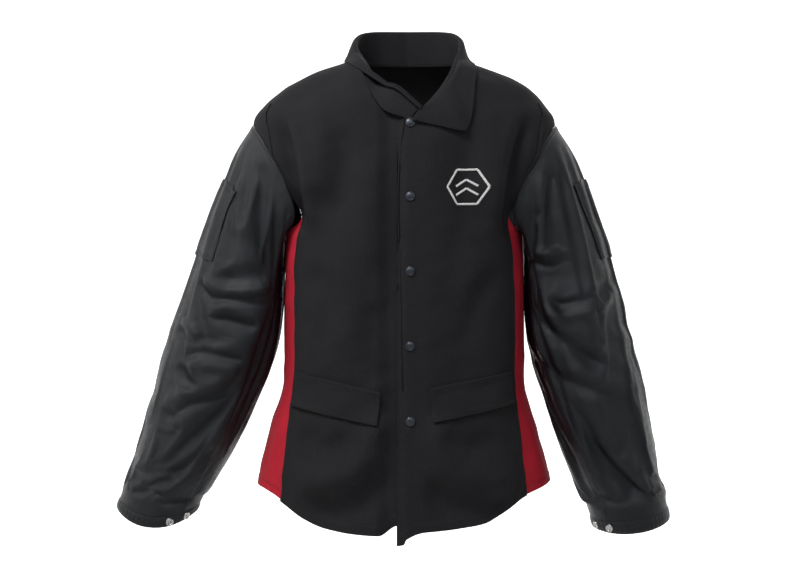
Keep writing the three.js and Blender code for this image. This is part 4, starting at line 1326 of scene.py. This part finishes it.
def make_bag(name):
    """The pocket's bag, inside the jacket behind its flap."""
    side = SIDES[name]
    x, top, _ = (FLAPS[name][key] for key in ("x", "top", "foot"))
    u = spread(110, 3.0, 1.0, 8)[None, :]
    v = spread(124, 3.0, 1.0, 8)[:, None]
    across = side * lerp(x[0] + 18, x[1] - 9, u) + 0 * v
    grid = front_surface(across, lerp(top[0] - 4, top[0] - 128, v) + 0 * u)
    grid = facing_out(grid, side)
    grid[..., 1] += CLOTH + 1.4
    parent = "front_left" if name == "left" else "torso"
    cloth = dress(shell(f"pocket_bag_{name}_cloth", grid, 2.0), BLACK_COTTON, parent, f"pocket_bag_{name}")
    dress(stitches(f"pocket_bag_{name}_stitches", [inset(grid, e, 3) for e in ("left", "right", "bottom")]),
          BLACK_THREAD, parent)


# -------------------------------------------------------------------------------- snaps
def torso_spot(x, z):
    """The undraped front's point at so much across and so high."""
    x, z = np.array(x, float), np.array(z, float)
    return torso(angle_on(x, z), z)


def snap_place(i):
    """A front snap's outer and inner places: (point, normal) on the overlap and the underlap."""
    z = SNAP_TOP_Z - i * SNAP_PITCH
    across = torso_spot(SNAP_X + 2, z) - torso_spot(SNAP_X - 2, z)
    down = torso_spot(SNAP_X, z - 2) - torso_spot(SNAP_X, z + 2)
    normal = unit(np.cross(down, across))
    outer = torso_spot(SNAP_X, z)
    return (outer, normal), (outer + normal * UNDERLAP_SINK * normal[1], normal)


# Sections of the turned pieces: distance from the axis, height above the cloth.
CAP_SECTION = [(0, -3.5), (1.6, -3.5), (1.6, 0.2), (6.6, 0.0), (7.5, 0.5), (7.45, 1.3), (6.9, 1.9),
               (6.2, 2.0), (5.9, 1.85), (5.0, 2.35), (3.4, 2.9), (1.6, 3.15), (0, 3.2)]
SOCKET_SECTION = [(1.95, -2.9), (1.95, -3.6), (4.3, -3.6), (4.5, -4.4), (4.3, -5.5), (6.1, -5.5),
                  (6.6, -4.6), (6.5, -3.3), (6.0, -2.9), (1.95, -2.9)]
STUD_SECTION = [(0, -3.0), (1.6, -3.0), (1.6, 0.4), (5.8, 0.3), (6.1, 0.8), (5.6, 1.2), (2.7, 1.3),
                (2.4, 2.2), (2.9, 3.0), (2.5, 3.6), (0, 3.8)]
WASHER_SECTION = [(1.95, -2.4), (1.95, -2.9), (5.6, -3.0), (6.0, -2.6), (5.7, -2.4), (1.95, -2.4)]
CUFF_SNAP_SECTION = [(0, -4.4), (1.6, -4.4), (1.6, 1.1), (6.1, 1.0), (6.5, 1.5), (6.2, 2.4),
                     (5.4, 2.9), (4.3, 2.9), (3.4, 2.5), (2.9, 1.8), (1.9, 1.6), (0, 1.7)]
CUFF_WASHER_SECTION = [(1.95, -3.5), (1.95, -4.1), (4.4, -4.2), (4.8, -3.8), (4.5, -3.5), (1.95, -3.5)]


def make_snaps():
    """Each front snap: cap and socket on the overlapping front, stud and washer on the under one."""
    for i in range(SNAPS):
        outer, inner = snap_place(i)
        lapped = "torso" if i < 2 else "front_left"
        for kind, section, place, moves in (("cap", CAP_SECTION, outer, lapped),
                                            ("socket", SOCKET_SECTION, outer, lapped),
                                            ("stud", STUD_SECTION, inner, "torso"),
                                            ("washer", WASHER_SECTION, inner, "torso")):
            obj = turned(f"front_snap_{kind}_{i + 1}", rounded(section), place)
            dress(obj, GUNMETAL, moves, f"snap_{kind}_{i + 1}")


def make_cuff_snaps(name):
    """Two snaps with their washers, side by side on the cuff."""
    share = (1 + CUFF_HEM) / 2

    def spot(s, d):
        return sleeve(name, np.array(s, float), np.array(d, float))

    for i, degrees in enumerate(CUFF_SNAPS[name]):
        over = spot(share, degrees - 3) - spot(share, degrees + 3)
        down = spot(share + 0.01, degrees) - spot(share - 0.01, degrees)
        normal = unit(np.cross(down, over)) * SIDES[name]
        place = (spot(share, degrees), normal)
        for kind, section in (("snap", CUFF_SNAP_SECTION), ("washer", CUFF_WASHER_SECTION)):
            obj = turned(f"wrist_{kind}_{name}_{i + 1}", rounded(section), place)
            dress(obj, NICKEL, f"sleeve_{name}", f"cuff_{kind}_{name}_{i + 1}")


# ------------------------------------------------------------------------------- emblem
SATIN_PITCH = 0.62  # from one satin stitch to the next
SATIN_R = 0.33
BAR_WIDTH = 3.2


def satin_bar(start, end, width):
    """Satin stitches side by side across a bar on the chest, each a line of points."""
    start, end = np.array(start, float), np.array(end, float)
    way = (end - start) / np.linalg.norm(end - start)
    across = np.array([-way[1], way[0]])
    lines = []
    for run in np.arange(0.3, np.linalg.norm(end - start) - 0.2, SATIN_PITCH):
        middle = start + way * run
        ends = np.array([middle + across * t * width / 2 + way * 0.35 * t for t in np.linspace(-1, 1, 5)])
        lines.append(front_surface(EMBLEM_X + ends[:, 0], EMBLEM_Z + ends[:, 1]))
    return lines


def make_emblem():
    """A plain hexagon of white thread with two chevrons in it."""
    turns = [math.radians(60 * k) for k in range(7)]
    corners = [((EMBLEM_R - 1.5) * math.cos(turn), (EMBLEM_R - 1.5) * math.sin(turn)) for turn in turns]
    bars = list(zip(corners[:-1], corners[1:]))
    for drop in (7, -7):
        bars.append(((-17, drop - 6), (0, drop + 5)))
        bars.append(((0, drop + 5), (17, drop - 6)))
    points, faces = [], []
    ring = np.radians([0, 60, 120, 180, 240, 300])
    for start, end in bars:
        for line in satin_bar(start, end, BAR_WIDTH):
            along = unit(np.gradient(line, axis=0))
            up = np.array([0, -1.0, 0])
            side = unit(np.cross(along, up))
            lift = np.array([0.1, 0.75, 0.9, 0.75, 0.1])[:, None] + 0.3
            centre = line + up * lift
            rings = centre[:, None] + SATIN_R * (np.cos(ring)[None, :, None] * side[:, None]
                                                 + np.sin(ring)[None, :, None] * up)
            faces.append(grid_faces(5, 6, True) + 30 * len(points))
            points.append(rings.reshape(-1, 3))
    obj = make_mesh("emblem_thread", np.vstack(points), np.vstack(faces))
    dress(obj, WHITE_THREAD, FRONT_BEND, "chest_emblem")


# --------------------------------------------------------------------- camera and studio
def make_camera():
    """Level, straight from the front, 2.5 m away."""
    data = bpy.data.cameras.new("camera")
    data.lens = 68.2
    camera = bpy.data.objects.new("camera", data)
    camera.location = (-0.0066, -2.5, -0.382)
    camera.rotation_euler = (math.pi / 2, 0, 0)
    bpy.context.scene.collection.objects.link(camera)
    bpy.context.scene.camera = camera


def add_light(name, place, target, size, power, color=(1, 1, 1)):
    """A soft box of so many metres and watts, turned towards a target."""
    data = bpy.data.lights.new(name, "AREA")
    data.shape = "RECTANGLE"
    data.size, data.size_y = size
    data.energy = power
    data.color = color
    light = bpy.data.objects.new(name, data)
    light.location = place
    way = Vector(target) - Vector(place)
    light.rotation_euler = way.to_track_quat("-Z", "Y").to_euler()
    bpy.context.scene.collection.objects.link(light)


FLOOR_Z = -1.25  # metres


def make_studio():
    """A pale round floor that rises into a backdrop, and soft boxes; the floor and backdrop glow with
    painted light, dim in front and brightest behind.
    """
    profile = [(0.0002, FLOOR_Z), (1.5, FLOOR_Z), (3.6, FLOOR_Z)]
    for turn in np.radians(np.arange(0, 91, 7.5)):
        profile.append((4.4 + 1.2 * math.sin(turn), -0.05 - 1.2 * math.cos(turn)))
    profile.append((5.6, 4.6))
    turns = np.linspace(0, 2 * math.pi, 96, endpoint=False)
    grid = np.array([[(r * math.cos(t), r * math.sin(t), z) for t in turns] for r, z in profile]) / MM
    stage = make_mesh("studio_floor", grid.reshape(-1, 3), grid_faces(len(grid), len(turns), wrap=True))
    pale, shader = new_material("studio_glowing_white", (0.5, 0.5, 0.5), 0.9)
    shader.inputs["Emission Color"].default_value = (1, 1, 1, 1)
    # Painted glow: the floor and backdrop emit light of their own, from 0.05 in front of the jacket to 1.05
    # behind it.
    depth = node(pale, "ShaderNodeSeparateXYZ", Vector=object_place(pale)).outputs["Y"]
    glow = ramp(pale, depth, -1.0, 2.0, 0.05, 1.05)
    pale.node_tree.links.new(glow, shader.inputs["Emission Strength"])
    stage.data.materials.append(pale)
    world = bpy.data.worlds.new("studio")
    world.use_nodes = True
    world.node_tree.nodes["Background"].inputs["Color"].default_value = (0.93, 0.96, 1.0, 1)
    world.node_tree.nodes["Background"].inputs["Strength"].default_value = 0.14
    bpy.context.scene.world = world
    add_light("key", (-1.1, -1.35, 1.9), (0, 0, 0.25), (1.1, 0.8), 78, (0.97, 0.98, 1.0))
    add_light("fill", (0.9, -2.6, 1.5), (0, 0, -0.3), (1.0, 1.0), 14, (0.93, 0.96, 1.0))
    add_light("rim", (-2.4, -0.7, 0.3), (-0.3, 0, -0.5), (0.6, 1.8), 14, (1.0, 0.95, 0.86))
    add_light("back", (0.6, 2.6, 1.8), (0, 0, -0.3), (1.8, 1.2), 26)
    bpy.context.scene.view_settings.view_transform = "Standard"


make_camera()
make_studio()
make_fronts()
make_back()
for name in SIDES:
    make_side_panel(name)
    make_sleeve(name)
    make_cuff_snaps(name)
    make_pocket(name)
make_collar()
make_snaps()
make_emblem()
